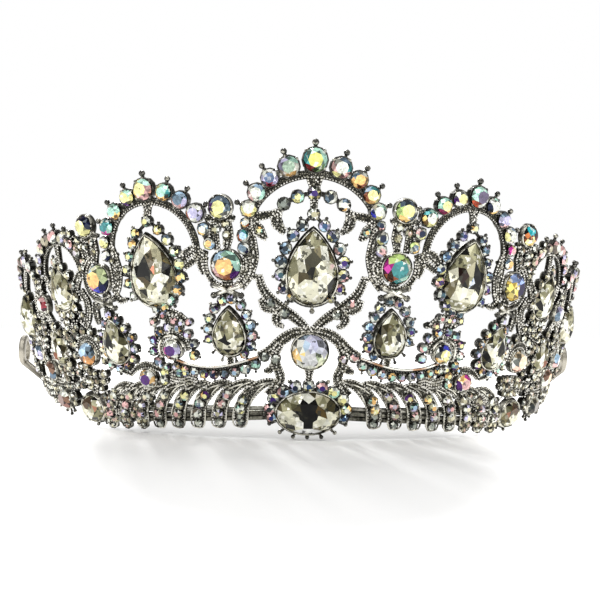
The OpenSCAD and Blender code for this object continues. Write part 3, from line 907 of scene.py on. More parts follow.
def paintChampagne(stone, seed, patches, mirrored):
    # patches are (x, y, half width, half height, shade) spots of painted reflection in the stone's own half
    # sizes
    dice = random.Random(seed)
    tints = []
    for x, y, kind in facetsOf(stone):
        x = -x if mirrored else x
        shade = dice.choices(("light", "mid", "dark", "black"), champagne["odds"][kind])[0]
        for px, py, across, up, wanted in patches:
            if kind not in ("wall", "back") and math.hypot((x - px) / across, (y - py) / up) < 1:
                shade = wanted
        tint = shade if isinstance(shade, tuple) else dice.choice(champagne[shade])
        tints.append(lit(tint, dice.uniform(*champagne["flicker"])))
    return tints


# Painted light on the rainbow stones' facets: girdle walls a fixed dark grey, tables a little lighter or
# darker, and each other facet lighter or darker by one of the facet lights
rainbow = {
    "wall": (0.12, 0.12, 0.12),
    "tableFlicker": (0.86, 1.1),
    "facetLights": (0.45, 0.8, 0.95, 1.05, 1.15),
    "drift": 0.15,
}


def paintRainbow(stone, seed, table, around, spot=None):
    # around holds the tints clockwise from the top; a spot (x, y, reach) moves the table's tint sideways
    dice = random.Random(seed)
    tints = []
    for x, y, kind in facetsOf(stone):
        turn = math.degrees(math.atan2(x, y)) % 360
        if spot is None:
            shows = kind in ("table", "heart")
        else:
            shows = math.hypot(x - spot[0], y - spot[1]) < spot[2]
        if kind in ("wall", "back"):
            tint, light = rainbow["wall"], 1.0
        elif shows:
            tint, light = table, dice.uniform(*rainbow["tableFlicker"])
        else:
            drift = dice.uniform(-rainbow["drift"], rainbow["drift"])
            tint = around[int(turn / 360 * len(around) + drift) % len(around)]
            light = dice.choice(rainbow["facetLights"])
        tints.append(lit(tint, light))
    return tints


# How far the last pears are turned toward the front, in degrees
swings = {"arch_pear": 9, "column_pear_2": 5, "side_pear": 8, "column_pear_3": 14, "end_pear": 34}


def placeStone(node, stone, tints, place, material):
    place = place @ Matrix.Translation((0, 0, cut["seatLift"]))
    return meshFrom(pieceName(node), [place @ c for c in stone["corners"]], stone["faces"], material, tints)


def pieceName(node):
    return "".join(word.capitalize() for word in node.split("_"))


def ridesFor(made, slot, *nodes):
    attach(made, "root")
    if nodes:
        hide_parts(*nodes)


# Pears and ovals: node, angle, height, width, length, lean, cups round it, cuts, and patches of painted dark
# or light reflection
pears = [
    ("centre_pear", 0, 40.6, 11.3, 17.1, 0, 15, 9, [
        (0.03, 0.24, 0.26, 0.3, (0.25, 0.24, 0.18)), (-0.4, -0.18, 0.28, 0.19, (0.32, 0.29, 0.2)),
        (-0.06, -0.04, 0.13, 0.12, "black"), (0.45, 0.02, 0.36, 0.34, "light"),
        (0.0, -0.58, 0.6, 0.3, "light"), (-0.5, 0.3, 0.24, 0.34, "light"), (0.68, -0.5, 0.2, 0.18, "black"),
        (0.4, 0.46, 0.18, 0.2, "light"), (-0.8, -0.05, 0.2, 0.4, "mid")]),
    ("arch_pear", 26.8, 39.6, 11.2, 16.8, -8, 15, 9, [
        (-0.26, 0.1, 0.36, 0.26, (0.07, 0.07, 0.06)), (-0.2, -0.22, 0.26, 0.1, (0.30, 0.26, 0.18)),
        (0.2, 0.14, 0.2, 0.16, (0.80, 0.52, 0.42)), (0.1, 0.46, 0.26, 0.2, (0.42, 0.38, 0.30)),
        (0.4, -0.3, 0.34, 0.24, "light"), (0.0, -0.7, 0.5, 0.2, "light"), (-0.1, 0.6, 0.4, 0.2, "light")]),
    ("column_pear", 13.7, 25.2, 7.4, 10.8, 0, 13, 7, [
        (-0.1, -0.28, 0.3, 0.2, "black"), (0.2, 0.36, 0.3, 0.26, "mid"), (0.4, -0.4, 0.3, 0.3, "light")]),
    ("column_pear_2", 36.4, 22.2, 7.4, 10.8, -11, 13, 9, [
        (-0.2, 0.04, 0.36, 0.26, "black"), (0.4, -0.2, 0.3, 0.3, "light"),
        (-0.1, -0.62, 0.4, 0.24, "light")]),
    ("side_pear", 49.4, 35.6, 7.6, 11.2, -15, 12, 9, [
        (-0.2, 0.2, 0.3, 0.26, "dark"), (0.1, -0.36, 0.4, 0.3, (0.97, 0.97, 0.93)),
        (0.3, 0.4, 0.2, 0.3, "mid")]),
    ("column_pear_3", 54.4, 20, 6, 8.8, -10, 10, 8, [
        (0.1, 0.2, 0.26, 0.3, "dark"), (0.3, -0.2, 0.3, 0.3, (0.97, 0.97, 0.93)),
        (-0.3, -0.4, 0.3, 0.3, (0.5, 0.3, 0.2))]),
    ("end_pear", 69.4, 28.4, 8.8, 11.6, -14, 11, 9, [
        (0.0, 0.3, 0.3, 0.3, "mid"), (-0.1, -0.4, 0.4, 0.3, "light"),
        (0.3, 0.0, 0.2, 0.3, (0.97, 0.97, 0.93))]),
]
ovals = [
    ("front_oval", 0, 5.9, 14.8, 10.3, 0, 0, 11, [
        (0.0, 0.08, 0.31, 0.72, "black"), (0.62, -0.1, 0.26, 0.5, "light"),
        (-0.58, -0.1, 0.28, 0.4, "light"), (0.42, 0.34, 0.2, 0.3, (0.36, 0.29, 0.15)),
        (0.5, 0.66, 0.2, 0.24, "mid"),
        (0.0, -0.78, 0.5, 0.22, (0.98, 0.98, 0.96))]),
    ("side_oval", 46.2, 4.4, 9, 6.8, 0, 0, 7, [
        (-0.1, 0.5, 0.6, 0.4, (0.34, 0.26, 0.18)), (0.62, 0.0, 0.16, 0.2, (0.66, 0.46, 0.36)),
        (-0.1, -0.3, 0.5, 0.4, "light")]),
]
mint, teal, sky, jet = (0.68, 0.86, 0.78), (0.24, 0.50, 0.50), (0.66, 0.78, 0.88), (0.03, 0.03, 0.04)
lemon, honey, rust = (0.90, 0.88, 0.60), (0.92, 0.73, 0.46), (0.56, 0.33, 0.22)
violet, magenta, navy = (0.30, 0.14, 0.40), (0.70, 0.20, 0.54), (0.07, 0.08, 0.22)
pearl, rose, lilac, slate = (0.87, 0.88, 0.83), (0.84, 0.66, 0.65), (0.74, 0.72, 0.84), (0.38, 0.45, 0.51)
leaf, cobalt, brown = (0.72, 0.82, 0.50), (0.25, 0.27, 0.74), (0.46, 0.34, 0.27)
# Rounds: node, angle, height, diameter, then table and surrounding tints, coating colours and painted
# reflections, for the left and the right one
rounds = [
    ("centre_round", 0, 20.9, 8.4, None,
     ((0.84, 0.84, 0.84), [(0.80, 0.80, 0.90), (0.86, 0.87, 0.92), (0.84, 0.90, 0.74), (0.92, 0.91, 0.78),
                           pearl, (0.92, 0.76, 0.48), pearl, (0.74, 0.82, 0.90)])),
    ("top_round", 14.4, 54.2, 5.2, (lemon, [slate, slate, pearl, lemon, violet, slate]),
     (lemon, [slate, pearl, slate, honey, leaf, slate])),
    ("top_round_2", 40.1, 50.8, 5.2, (lemon, [navy, navy, lemon, lemon, honey, navy]),
     ((0.20, 0.72, 0.76), [jet, jet, (0.30, 0.12, 0.10), honey, lemon, (0.7, 0.4, 0.2), jet, jet])),
    ("column_round", 13.7, 40.9, 7, (honey, [mint, mint, violet, rust, rose, pearl, sky]),
     (teal, [leaf, pearl, mint, teal, rust, magenta, leaf])),
    ("column_round_2", 38.2, 37.8, 7,
     (honey, [(0.88, 0.93, 0.72), (0.85, 0.91, 0.68), navy, cobalt, magenta, pearl, honey, sky]),
     ((0.05, 0.03, 0.22), [(0.52, 0.60, 0.80), (0.46, 0.54, 0.76), navy, navy, (0.90, 0.76, 0.36),
                           (0.94, 0.86, 0.48), (0.90, 0.78, 0.40), (0.56, 0.64, 0.82)])),
    ("column_round_3", 57.6, 31.6, 4.8, (pearl, [rose, (0.5, 0.16, 0.2), pearl, rose, (0.6, 0.2, 0.3)]),
     (pearl, [rose, honey, slate, lilac])),
    ("curl_round", 24.2, 20.7, 4.6, (violet, [pearl, lilac, pearl, rose, magenta, pearl]),
     (lemon, [cobalt, sky, lemon, honey, pearl, navy])),
    ("curl_round_2", 44.3, 18.8, 6,
     ((0.70, 0.82, 0.92), [sky, slate, (0.62, 0.44, 0.26), (0.74, 0.52, 0.30), (0.66, 0.46, 0.26), honey,
                           (0.5, 0.42, 0.32), sky]),
     ((0.90, 0.82, 0.70), [pearl, lemon, rose, (0.86, 0.70, 0.62), pearl, (0.88, 0.80, 0.66)])),
    ("curl_round_3", 66.4, 18.4, 4.8, (pearl, [slate, lilac, honey, sky]),
     (lilac, [pearl, slate, rose, sky])),
    ("low_round", 29.9, 13.3, 4.6, (violet, [pearl, honey, pearl, lilac, honey]),
     (rose, [magenta, honey, pearl, violet, honey])),
    ("foot_round", 60.4, 13.6, 5.4, (pearl, [brown, slate, brown, honey]),
     (honey, [brown, slate, pearl, brown])),
    ("base_round", 56.6, 6, 5.4,
     ((0.44, 0.32, 0.28), [pearl, brown, (0.52, 0.38, 0.34), brown, (0.60, 0.50, 0.44), brown]),
     ((0.34, 0.34, 0.30), [pearl, (0.22, 0.22, 0.20), (0.45, 0.44, 0.38), (0.25, 0.25, 0.22),
                           (0.6, 0.58, 0.5)])),
]

# Where the right-hand stone isn't the left one's mirror image
rightPatches = {
    "arch_pear": [(-0.4, 0.1, 0.3, 0.3, (0.16, 0.10, 0.07)), (-0.1, 0.42, 0.3, 0.24, "mid"),
                  (0.34, 0.0, 0.34, 0.34, "black"), (0.12, -0.06, 0.12, 0.16, (0.34, 0.46, 0.62)),
                  (0.2, -0.5, 0.5, 0.24, "light"), (-0.4, -0.4, 0.3, 0.24, "light"),
                  (0.5, 0.4, 0.2, 0.2, "dark")],
    "column_pear": [(-0.3, 0.0, 0.3, 0.26, "dark"), (0.2, -0.3, 0.36, 0.26, "light"),
                    (0.3, 0.3, 0.24, 0.24, "mid")],
}

# Where a round stone's deepest tint shows off its middle, in the stone's own half sizes
spots = {
    "column_round_2_right": (0.42, -0.08, 0.5),
    "top_round_2_right": (-0.38, 0.42, 0.4),
    "curl_round_2_left": (-0.2, 0.5, 0.62),
    "centre_round": (-0.04, -0.3, 0.46),
}


def copiesOf(node, th):
    # the left and the right one of a stone, or the one in the middle
    return [(sign, node + "_" + side) for side, sign in sides.items()] if th else [(1, node)]


def fullnessOf(node):
    return pearFullness if "pear" in node else 0


def makeBigStones():
    for k, (node, th, v, w, l, lean, _, cuts, patches) in enumerate(pears + ovals):
        tall = cut["pearTall"] * min(w, l)
        stone = cutStone(w - cut["play"], l - cut["play"], fullnessOf(node), cuts, tall)
        for sign, name in copiesOf(node, th):
            own = sign > 0 and node in rightPatches
            tints = paintChampagne(stone, 40 + 2 * k + sign, rightPatches[node] if own else patches,
                                   sign > 0 and th != 0 and not own)
            place = placeOn(th * sign, v, 0, lean * sign, swing=swings.get(node, 0))
            ridesFor(placeStone(name, stone, tints, place, champagneGlass), "champagne_crystal", name)
    for k, (node, th, v, d, left, right) in enumerate(rounds):
        for sign, name in copiesOf(node, th):
            table, around = left if sign < 0 else right
            stone = roundStone(d)
            tints = paintRainbow(stone, 90 + 2 * k + sign, table, around, spots.get(name))
            made = placeStone(name, stone, tints, placeOn(th * sign, v), rainbowGlass)
            ridesFor(made, "iridescent_crystal", name)


makeBigStones()

# Small stones: a unit one with a table and sixteen crown facets, its walls painted dark and its crown facets
# made lighter or darker by painted light
smallStone = {"back": 0.9, "table": 0.5, "girdle": 0.5, "top": 0.95, "sides": 8,
              "wallTint": (0.1, 0.1, 0.1), "facetLights": (0.2, 0.7, 0.95, 1.12)}


def makeSmallStone():
    n = smallStone["sides"]

    def ring(shift, size, z):
        turns = [math.radians(360 * (i + shift) / n) for i in range(n)]
        return [Vector((size * math.cos(a), size * math.sin(a), z)) for a in turns]

    corners = ring(0, smallStone["back"], 0) + ring(0, 1, smallStone["girdle"])
    corners += ring(0.5, smallStone["table"], smallStone["top"])
    faces, kinds = [], []
    for i in range(n):
        j = (i + 1) % n
        faces += [[i, j, n + j, n + i], [n + i, n + j, 2 * n + i], [n + j, 2 * n + j, 2 * n + i]]
        kinds += ["wall", "half", "kite"]
    faces += [[2 * n + i for i in range(n)], list(reversed(range(n)))]
    kinds += ["table", "wall"]
    return {"corners": corners, "faces": faces, "kinds": kinds}


smallShape = makeSmallStone()
# The small stones' table and crown facet tints: coating colours and painted reflections
families = {
    "night": {"table": [(0.09, 0.11, 0.17), (0.18, 0.28, 0.42), (0.22, 0.08, 0.40), (0.06, 0.07, 0.20),
                        (0.10, 0.13, 0.38), (0.22, 0.32, 0.36)],
              "around": [pearl, lilac, sky, pearl, slate, pearl, lemon, pearl, rose]},
    "honey": {"table": [lemon, pearl, honey, (0.88, 0.86, 0.62), lemon],
              "around": [pearl, lemon, pearl, (0.80, 0.78, 0.62), honey, mint, slate]},
    "opal": {"table": [pearl, mint, lemon, lilac, sky, slate, navy],
             "around": [pearl, pearl, rose, mint, pearl, lilac, honey, violet, slate]},
    "smoke": {"table": [(0.66, 0.64, 0.52), (0.82, 0.80, 0.68), (0.48, 0.42, 0.32), (0.70, 0.60, 0.54),
                        pearl, (0.30, 0.28, 0.22)],
              "around": [(0.52, 0.49, 0.38), pearl, (0.72, 0.69, 0.55), (0.38, 0.35, 0.27), pearl,
                         (0.80, 0.78, 0.66)]},
    "steel": {"table": [(0.60, 0.62, 0.58), (0.48, 0.50, 0.47), (0.74, 0.75, 0.70)],
              "around": [(0.36, 0.37, 0.34), pearl, (0.58, 0.60, 0.55), (0.24, 0.25, 0.23),
                         (0.80, 0.80, 0.74)]},
    "dusk": {"table": [pearl, (0.74, 0.71, 0.74), (0.70, 0.68, 0.56), (0.80, 0.62, 0.60),
                       (0.84, 0.82, 0.70)],
             "around": [pearl, (0.62, 0.59, 0.50), lilac, (0.40, 0.36, 0.32), pearl, rose,
                        (0.78, 0.76, 0.64)]},
    "petal": {"table": [rose, pearl, (0.70, 0.46, 0.46), lemon, lilac],
              "around": [pearl, rose, (0.62, 0.56, 0.46), pearl, lilac, (0.3, 0.26, 0.24)]},
}
# The larger stones on the first two arches, each its table and the painted tints round it clockwise from the
# top
centreTints = [
    (slate, [pearl, navy, pearl, slate]), (sky, [teal, pearl, rust, slate]),
    (pearl, [pearl, rust, honey, slate]), (pearl, [pearl, lemon, honey, lemon, pearl]),
    (pearl, [sky, mint, pearl, rose, pearl]),
    ((0.36, 0.43, 0.56), [pearl, lilac, (0.5, 0.2, 0.26), lilac, pearl]),
    ((0.58, 0.66, 0.58), [mint, pearl, honey, (0.62, 0.58, 0.5), lilac, lilac]),
    ((0.93, 0.93, 0.5), [mint, mint, (0.45, 0.55, 0.38), (0.4, 0.16, 0.16), teal, mint]),
    (pearl, [slate, teal, rose, lemon, rose, (0.6, 0.6, 0.56)]), (honey, [pearl, honey, rust, honey, slate]),
    (lemon, [teal, lemon, honey, rust, sky]), (pearl, [mint, pearl, lemon, cobalt, pearl]),
    (navy, [pearl, rose, slate]), (navy, [pearl, sky, lemon, pearl]), (rose, [pearl, rose, lilac, pearl]),
]
secondLeftTints = [
    (honey, [pearl, sky, lemon, pearl]), (pearl, [sky, pearl, honey, slate]),
    (lilac, [pearl, lilac, pearl, rust, pearl]), (slate, [sky, lilac, rose, rose, slate]),
    (mint, [mint, teal, honey, honey, lemon]), (lemon, [mint, rose, rose, honey, lemon]),
    (lemon, [mint, lemon, violet, slate, lemon]), (mint, [mint, honey, rose, pearl]),
    (teal, [teal, mint, magenta, magenta, lemon]), (lemon, [pearl, lemon, magenta, pearl]),
    (pearl, [pearl, navy, pearl, slate]),
]
secondRightTints = [
    (slate, [lemon, honey, pearl, leaf]), (navy, [pearl, lemon, pearl, rose]),
    (pearl, [mint, honey, lemon, honey, teal]), (lemon, [mint, honey, honey, (0.5, 0.16, 0.3), mint, mint]),
    (lemon, [pearl, lemon, pearl, violet, pearl]),
    ((0.38, 0.34, 0.42), [mint, violet, pearl, (0.78, 0.34, 0.22), mint, mint]),
    (pearl, [mint, pearl, honey, navy, pearl]), (lilac, [sky, lilac, rose, lilac, slate]),
    (pearl, [sky, violet, pearl, lemon, pearl]), (rose, [lemon, pearl, magenta]),
    (honey, [pearl, honey, pearl, slate]),
]


def stampStones(name, places, seed):
    # places is a list of (matrix, family)
    dice = random.Random(seed)
    n = smallStone["sides"]
    corners, faces, tints = [], [], []
    for place, family in places:
        addCopy(corners, faces, smallShape, place)
        recipe = families[family]
        table = dice.choice(recipe["table"])
        offset = dice.randrange(n)
        around = [dice.choice(recipe["around"]) for _ in range(n // 2)]
        for i, kind in enumerate(smallShape["kinds"]):
            if kind == "table":
                tints.append(lit(table, 1.0))
            elif kind == "wall":
                tints.append(lit(smallStone["wallTint"], 1.0))
            else:
                tint = around[((i // 3 + offset) % n) // 2]
                tints.append(lit(tint, dice.choice(smallStone["facetLights"])))
    return meshFrom(name, corners, faces, rainbowGlass, tints)


print("castings")

# The small settings, in mm: cups and their stones, ball prongs, and the walls round the large stones
setting = {
    "cupTall": 1.45,
    "rowCupTall": 1.5,
    "stoneRise": 0.68,
    "stoneTurn": 22,
    "stoneTall": 0.95,
    "prongReach": 0.42,
    "prongRise": 1.15,
    "cupNeck": 1.6,
    "rowReach": 1.15,
    "rowRise": 1.2,
    "grains": 4,
    "grainSize": (0.24, 0.36),
    "grainRise": 1.25,
    "padRise": 0.2,
    "padReach": 1.2,
    "smallerBall": 0.72,  # the ball behind a prong's tip and the neck, in parts of the tip's size
    "behind": 1.35,
    "sunk": 0.2,
    "neckThick": 0.6,
    "neckLong": 2.6,
    "rodRise": 1.5,
    "bezelSides": 40,
    "bezelGap": 0.05,
    "bezelWall": 0.38,
    "bezelTall": 2.05,
    "bezelSkirt": 0.45,
    "seatWall": 0.3,
    "seatTall": 1.95,
    "clawSize": 0.3,
    "clawRise": 2.0,
    "clawReach": 0.12,
    "haloGap": 0.3,
    "linkRadius": 0.42,
    "linkRise": 0.5,
}


def directionFrom(centre, th, v):
    # in degrees from straight up
    return math.degrees(math.atan2(*offsetFrom(centre, th, v)))


class Crest:
    # gathers one casting's bands, beads, cups, prongs and small stones, then makes its two pieces
    def __init__(self, name, side):
        self.name = name
        self.side = side
        self.dice = random.Random(len(name))
        self.bands, self.beads, self.cups, self.stones = [], [], [], []
        self.balls, self.necks, self.rods, self.grounds, self.bezels = [], [], [], [], []
        self.wires = {}

    def place(self, th, v, *rest, **more):
        return placeOn(th * self.side, v, *rest, **more)

    def band(self, points, widths, top=None, ropes=True, rough=0.12, edges=None):
        top = top or band["top"]
        route = smoothRoute(points)
        self.bands.append((route, widths, top, self.side))
        if ropes:
            self.beads += ropePlaces(route, widths, top, self.side, rough, self.dice, edges)

    def wire(self, points, radius, top=1.3, gap=0.7, material=polishedSilver):
        self.wires.setdefault(material, []).append((smoothRoute(points, gap), radius, top, self.side))

    def rod(self, a, b, radius):
        # a straight rod between two places
        dx, dy = (b[0] - a[0]) * degreeMm(a[1]), b[1] - a[1]
        start = self.place(*b, setting["rodRise"], math.degrees(math.atan2(dy, dx * self.side)))
        self.rods.append(start @ Matrix.Diagonal((math.hypot(dx, dy), radius, radius, 1)))

    def cup(self, th, v, d, family, prong=None, lift=0.0, ballSize=0.42):
        # a small stone in its cup, with a ball prong in a direction, in degrees from straight up
        r = d / 2
        rise = lift + setting["cupTall"] * setting["stoneRise"]
        self.cups.append(self.place(th, v, lift, 0, r, setting["cupTall"]))
        seat = self.place(th, v, rise, setting["stoneTurn"], r, r * setting["stoneTall"])
        self.stones.append((seat, family))
        if prong is not None:
            self.ball(th, v, prong, r + setting["prongReach"], ballSize, lift + setting["prongRise"],
                      ballSize * setting["cupNeck"])

    def grains(self, th, v, reach):
        # a few loose grains in place of a stone
        for _ in range(setting["grains"]):
            spot = stepFrom((th, v), self.dice.uniform(-reach, reach), self.dice.uniform(-reach, reach))
            size = self.dice.uniform(*setting["grainSize"])
            self.beads.append(self.place(*spot, setting["grainRise"], 0, size))
        self.grounds.append(self.place(th, v, setting["padRise"], 0, reach * setting["padReach"]))

    def ball(self, th, v, direction, reach, size, w=1.0, neck=None):
        # a prong: the ball at its tip, a smaller one behind it, and its neck
        a = math.radians(direction)
        spot = stepFrom((th, v), reach * math.sin(a), reach * math.cos(a))
        turn = 90 - direction * self.side
        self.balls.append(self.place(*spot, w, turn, size))
        back = self.place(*spot, w - setting["sunk"] * size, turn)
        small, thick = setting["smallerBall"] * size, setting["neckThick"] * size
        behind = Matrix.Translation((-setting["behind"] * size, 0, 0))
        self.balls.append(back @ behind @ Matrix.Diagonal((small, small, small, 1)))
        self.necks.append(back @ Matrix.Diagonal((neck or setting["neckLong"] * size, thick, thick, 1)))

    def bezel(self, w, l, full, th, v, lean, wall, tall, skirt=0.0, swing=0):
        # a wall round a stone, standing on a wider plate where small cups crowd round it
        gap, count = setting["bezelGap"], setting["bezelSides"]
        foot = gap + wall + skirt
        profile = ((gap + wall * 0.4 + skirt, 0.15), (foot, 0.3), (foot, 0.75), (gap + wall, 0.8),
                   (gap + wall, tall - 0.25), (gap + wall * 0.55, tall), (gap, tall - 0.2), (gap, 0.9))
        place = self.place(th, v, 0, lean * self.side, swing=swing)
        corners, faces = [], []
        for out, z in profile:
            rim = [rimAt(360 * i / count, w + 2 * out, l + 2 * out, full) for i in range(count)]
            corners += [place @ Vector((*spot, z)) for spot in rim]
        last = len(corners) - count
        for start in range(0, last, count):
            for i in range(count):
                j = (i + 1) % count
                faces.append([start + j, start + i, start + count + i, start + count + j])
        faces += [[last + i for i in reversed(range(count))], list(range(count))]
        self.bezels.append(meshFrom("bezel", corners, faces, bezelSilver, smooth=True))

    def roundSeat(self, th, v, d, claws=6):
        self.bezel(d, d, 0, th, v, 0, setting["seatWall"], setting["seatTall"])
        reach = d / 2 + setting["clawReach"]
        for k in range(claws):
            a = math.radians(360 * (k + 0.5) / claws)
            spot = stepFrom((th, v), reach * math.sin(a), reach * math.cos(a))
            self.beads.append(self.place(*spot, setting["clawRise"], 0, setting["clawSize"]))

    def row(self, stones, centre, least):
        # an arch's cups, with a long prong behind each stone that is at least so wide
        for th, v, d in stones:
            self.cups.append(self.place(th, v, 0, 0, d / 2, setting["rowCupTall"]))
            if d >= least:
                self.ball(th, v, directionFrom(centre, th, v), d / 2 + setting["rowReach"], 0.4 + 0.08 * d,
                          setting["rowRise"])

    def make(self, node):
        pieces = [makeBands(self.name + "Casting", self.bands)]

        def add(shape, places, material, smooth=True):
            if places:
                pieces.append(stamp("copies", shape, places, material, smooth))

        add(beadShape, self.beads, ropeSilver)
        add(cupShape, self.cups, darkSilver, False)
        add(ballShape, self.balls, prongSilver)
        add(neckShape, self.necks, prongSilver)
        for material, wires in self.wires.items():
            pieces.append(makeWires(wires, material))
        add(neckShape, self.rods, polishedSilver)
        add(padShape, self.grounds, darkSilver)
        casting = joinSelected(pieces + self.bezels)
        nameAll(casting, self.name + "Casting")
        ridesFor(casting, "antique_silver", node)
        small = stampStones(self.name + "SmallStones", self.stones, len(self.stones))
        ridesFor(small, "iridescent_crystal")


def stonesOnRow(node, stones, side, family, seed, tinted=None):
    # an arch's row of stones; tints are drawn for each stone even where given ones take their place
    dice = random.Random(seed)
    corners, faces, tints = [], [], []
    recipe = families[family]
    for k, (th, v, d) in enumerate(stones):
        stone = roundStone(d, 8 if d > 3.4 else 6)
        table, around = dice.choice(recipe["table"]), [dice.choice(recipe["around"]) for _ in range(5)]
        if tinted:
            table, around = tinted[k]
        tints += paintRainbow(stone, dice.randrange(999), table, around)
        addCopy(corners, faces, stone, placeOn(th * side, v, cut["rowLift"]))
    ridesFor(meshFrom(pieceName(node), corners, faces, rainbowGlass, tints), "iridescent_crystal", node)


# The arches' stones, from the crown's front: angle, height and diameter
centreRow = [(0, 64.8, 5.5), (3.9, 63.2, 4.8), (6.7, 60.7, 4), (8.7, 57.4, 4.1), (9.9, 53.8, 3.8),
             (10.5, 50.6, 2.2), (10.8, 47.7, 3), (10.8, 44.8, 2.8)]
secondRow = [(16.3, 45.9, 2.8), (17.2, 49.2, 2.9), (18.5, 52.9, 4.2), (20.9, 55.9, 4), (23.6, 57.8, 4),
             (27.2, 58.6, 5.1), (30.3, 56.9, 4), (33.1, 53.8, 4), (35, 50.3, 4), (35.9, 46.6, 2.9),
             (35.8, 43.4, 2.8)]
thirdRow = [(42.9, 44.4, 2.4), (44.6, 46.6, 2.5), (46.8, 48.2, 2.9), (49.4, 48.8, 3.5), (52.1, 48.1, 3.3),
            (54.4, 46.1, 3), (55.9, 43.4, 2.6), (56.6, 40.6, 2.4)]
fourthRow = [(60.4, 39.6, 2.4), (62.1, 42, 2.8), (64.6, 43.5, 3.2), (67.4, 43.6, 3.2), (69.8, 42, 2.8),
             (71.4, 39.5, 2.6), (72.2, 36.9, 2.4)]


def stoneOf(node):
    return next(stone for stone in pears + ovals + rounds if stone[0] == node)


def setStone(crest, node):
    _, th, v, w, l, lean, *_ = stoneOf(node)
    crest.bezel(w, l, fullnessOf(node), th, v, lean, setting["bezelWall"], setting["bezelTall"],
                setting["bezelSkirt"], swings.get(node, 0))


def haloRound(crest, node, family, d):
    # cups evenly round a pear, from its top clockwise on the right side
    _, th, v, w, l, lean, count, *_ = stoneOf(node)
    w, l = (size + (2 * setting["haloGap"] + d) for size in (w, l))
    a = math.radians(lean)
    for t in evenTurns(w, l, pearFullness, count):
        x, y = rimAt(t, w, l, pearFullness)
        across, up = x * math.cos(a) - y * math.sin(a), x * math.sin(a) + y * math.cos(a)
        crest.cup(*stepFrom((th, v), across, up), d, family, math.degrees(math.atan2(across, up)))


def cups(crest, stones, family, outFrom=None, ballSize=0.45):
    # stones are (angle, height, diameter); their prongs point away from outFrom
    for th, v, d in stones:
        crest.cup(th, v, d, family, directionFrom(outFrom, th, v) if outFrom else None, ballSize=ballSize)


def links(crest, *chains):
    # dark wire that runs under loose cups and ties them to their neighbours
    for chain in chains:
        places = [spot[:2] for spot in chain]
        crest.wire(places, setting["linkRadius"], setting["linkRise"], material=darkSilver)


def balls(crest, centre, tips, size, w, neck=None):
    # prongs that end at the given places and point away from centre
    for th, v in tips:
        reach = math.hypot(*offsetFrom(centre, th, v))
        crest.ball(*centre, directionFrom(centre, th, v), reach, size, w, neck)


# How the small stones of a patch are scattered, as parts of their gap and of their size
scatter = {
    "shake": 0.16,
    "rowStarts": (0.4, 0.9),
    "rowGap": 0.9,
    "sizes": (0.85, 1.1),
    "lifts": (0, 0.3),
    "grainReach": 0.5,
}


def pave(crest, corners, gap, d, family, odds):
    # small stones and grains scattered over a patch with the given corners
    def inside(th, v):
        found = False
        for (ath, av), (bth, bv) in zip(corners, corners[1:] + corners[:1]):
            if (av > v) != (bv > v) and th < (bth - ath) * (v - av) / (bv - av) + ath:
                found = not found
        return found

    angles, heights = zip(*corners)
    step = gap / degreeMm((min(heights) + max(heights)) / 2)
    v, odd = min(heights) + gap / 2, False
    chance = crest.dice.uniform
    shake = scatter["shake"]
    while v < max(heights):
        th = min(angles) + step * scatter["rowStarts"][odd]
        while th < max(angles):
            spot = (th + chance(-shake, shake) * step, v + chance(-shake, shake) * gap)
            if inside(*spot):
                if crest.dice.random() < odds:
                    size = d * chance(*scatter["sizes"])
                    crest.cup(*spot, size, family, lift=chance(*scatter["lifts"]))
                else:
                    crest.grains(*spot, gap * scatter["grainReach"])
            th += step
        v += gap * scatter["rowGap"]
        odd = not odd


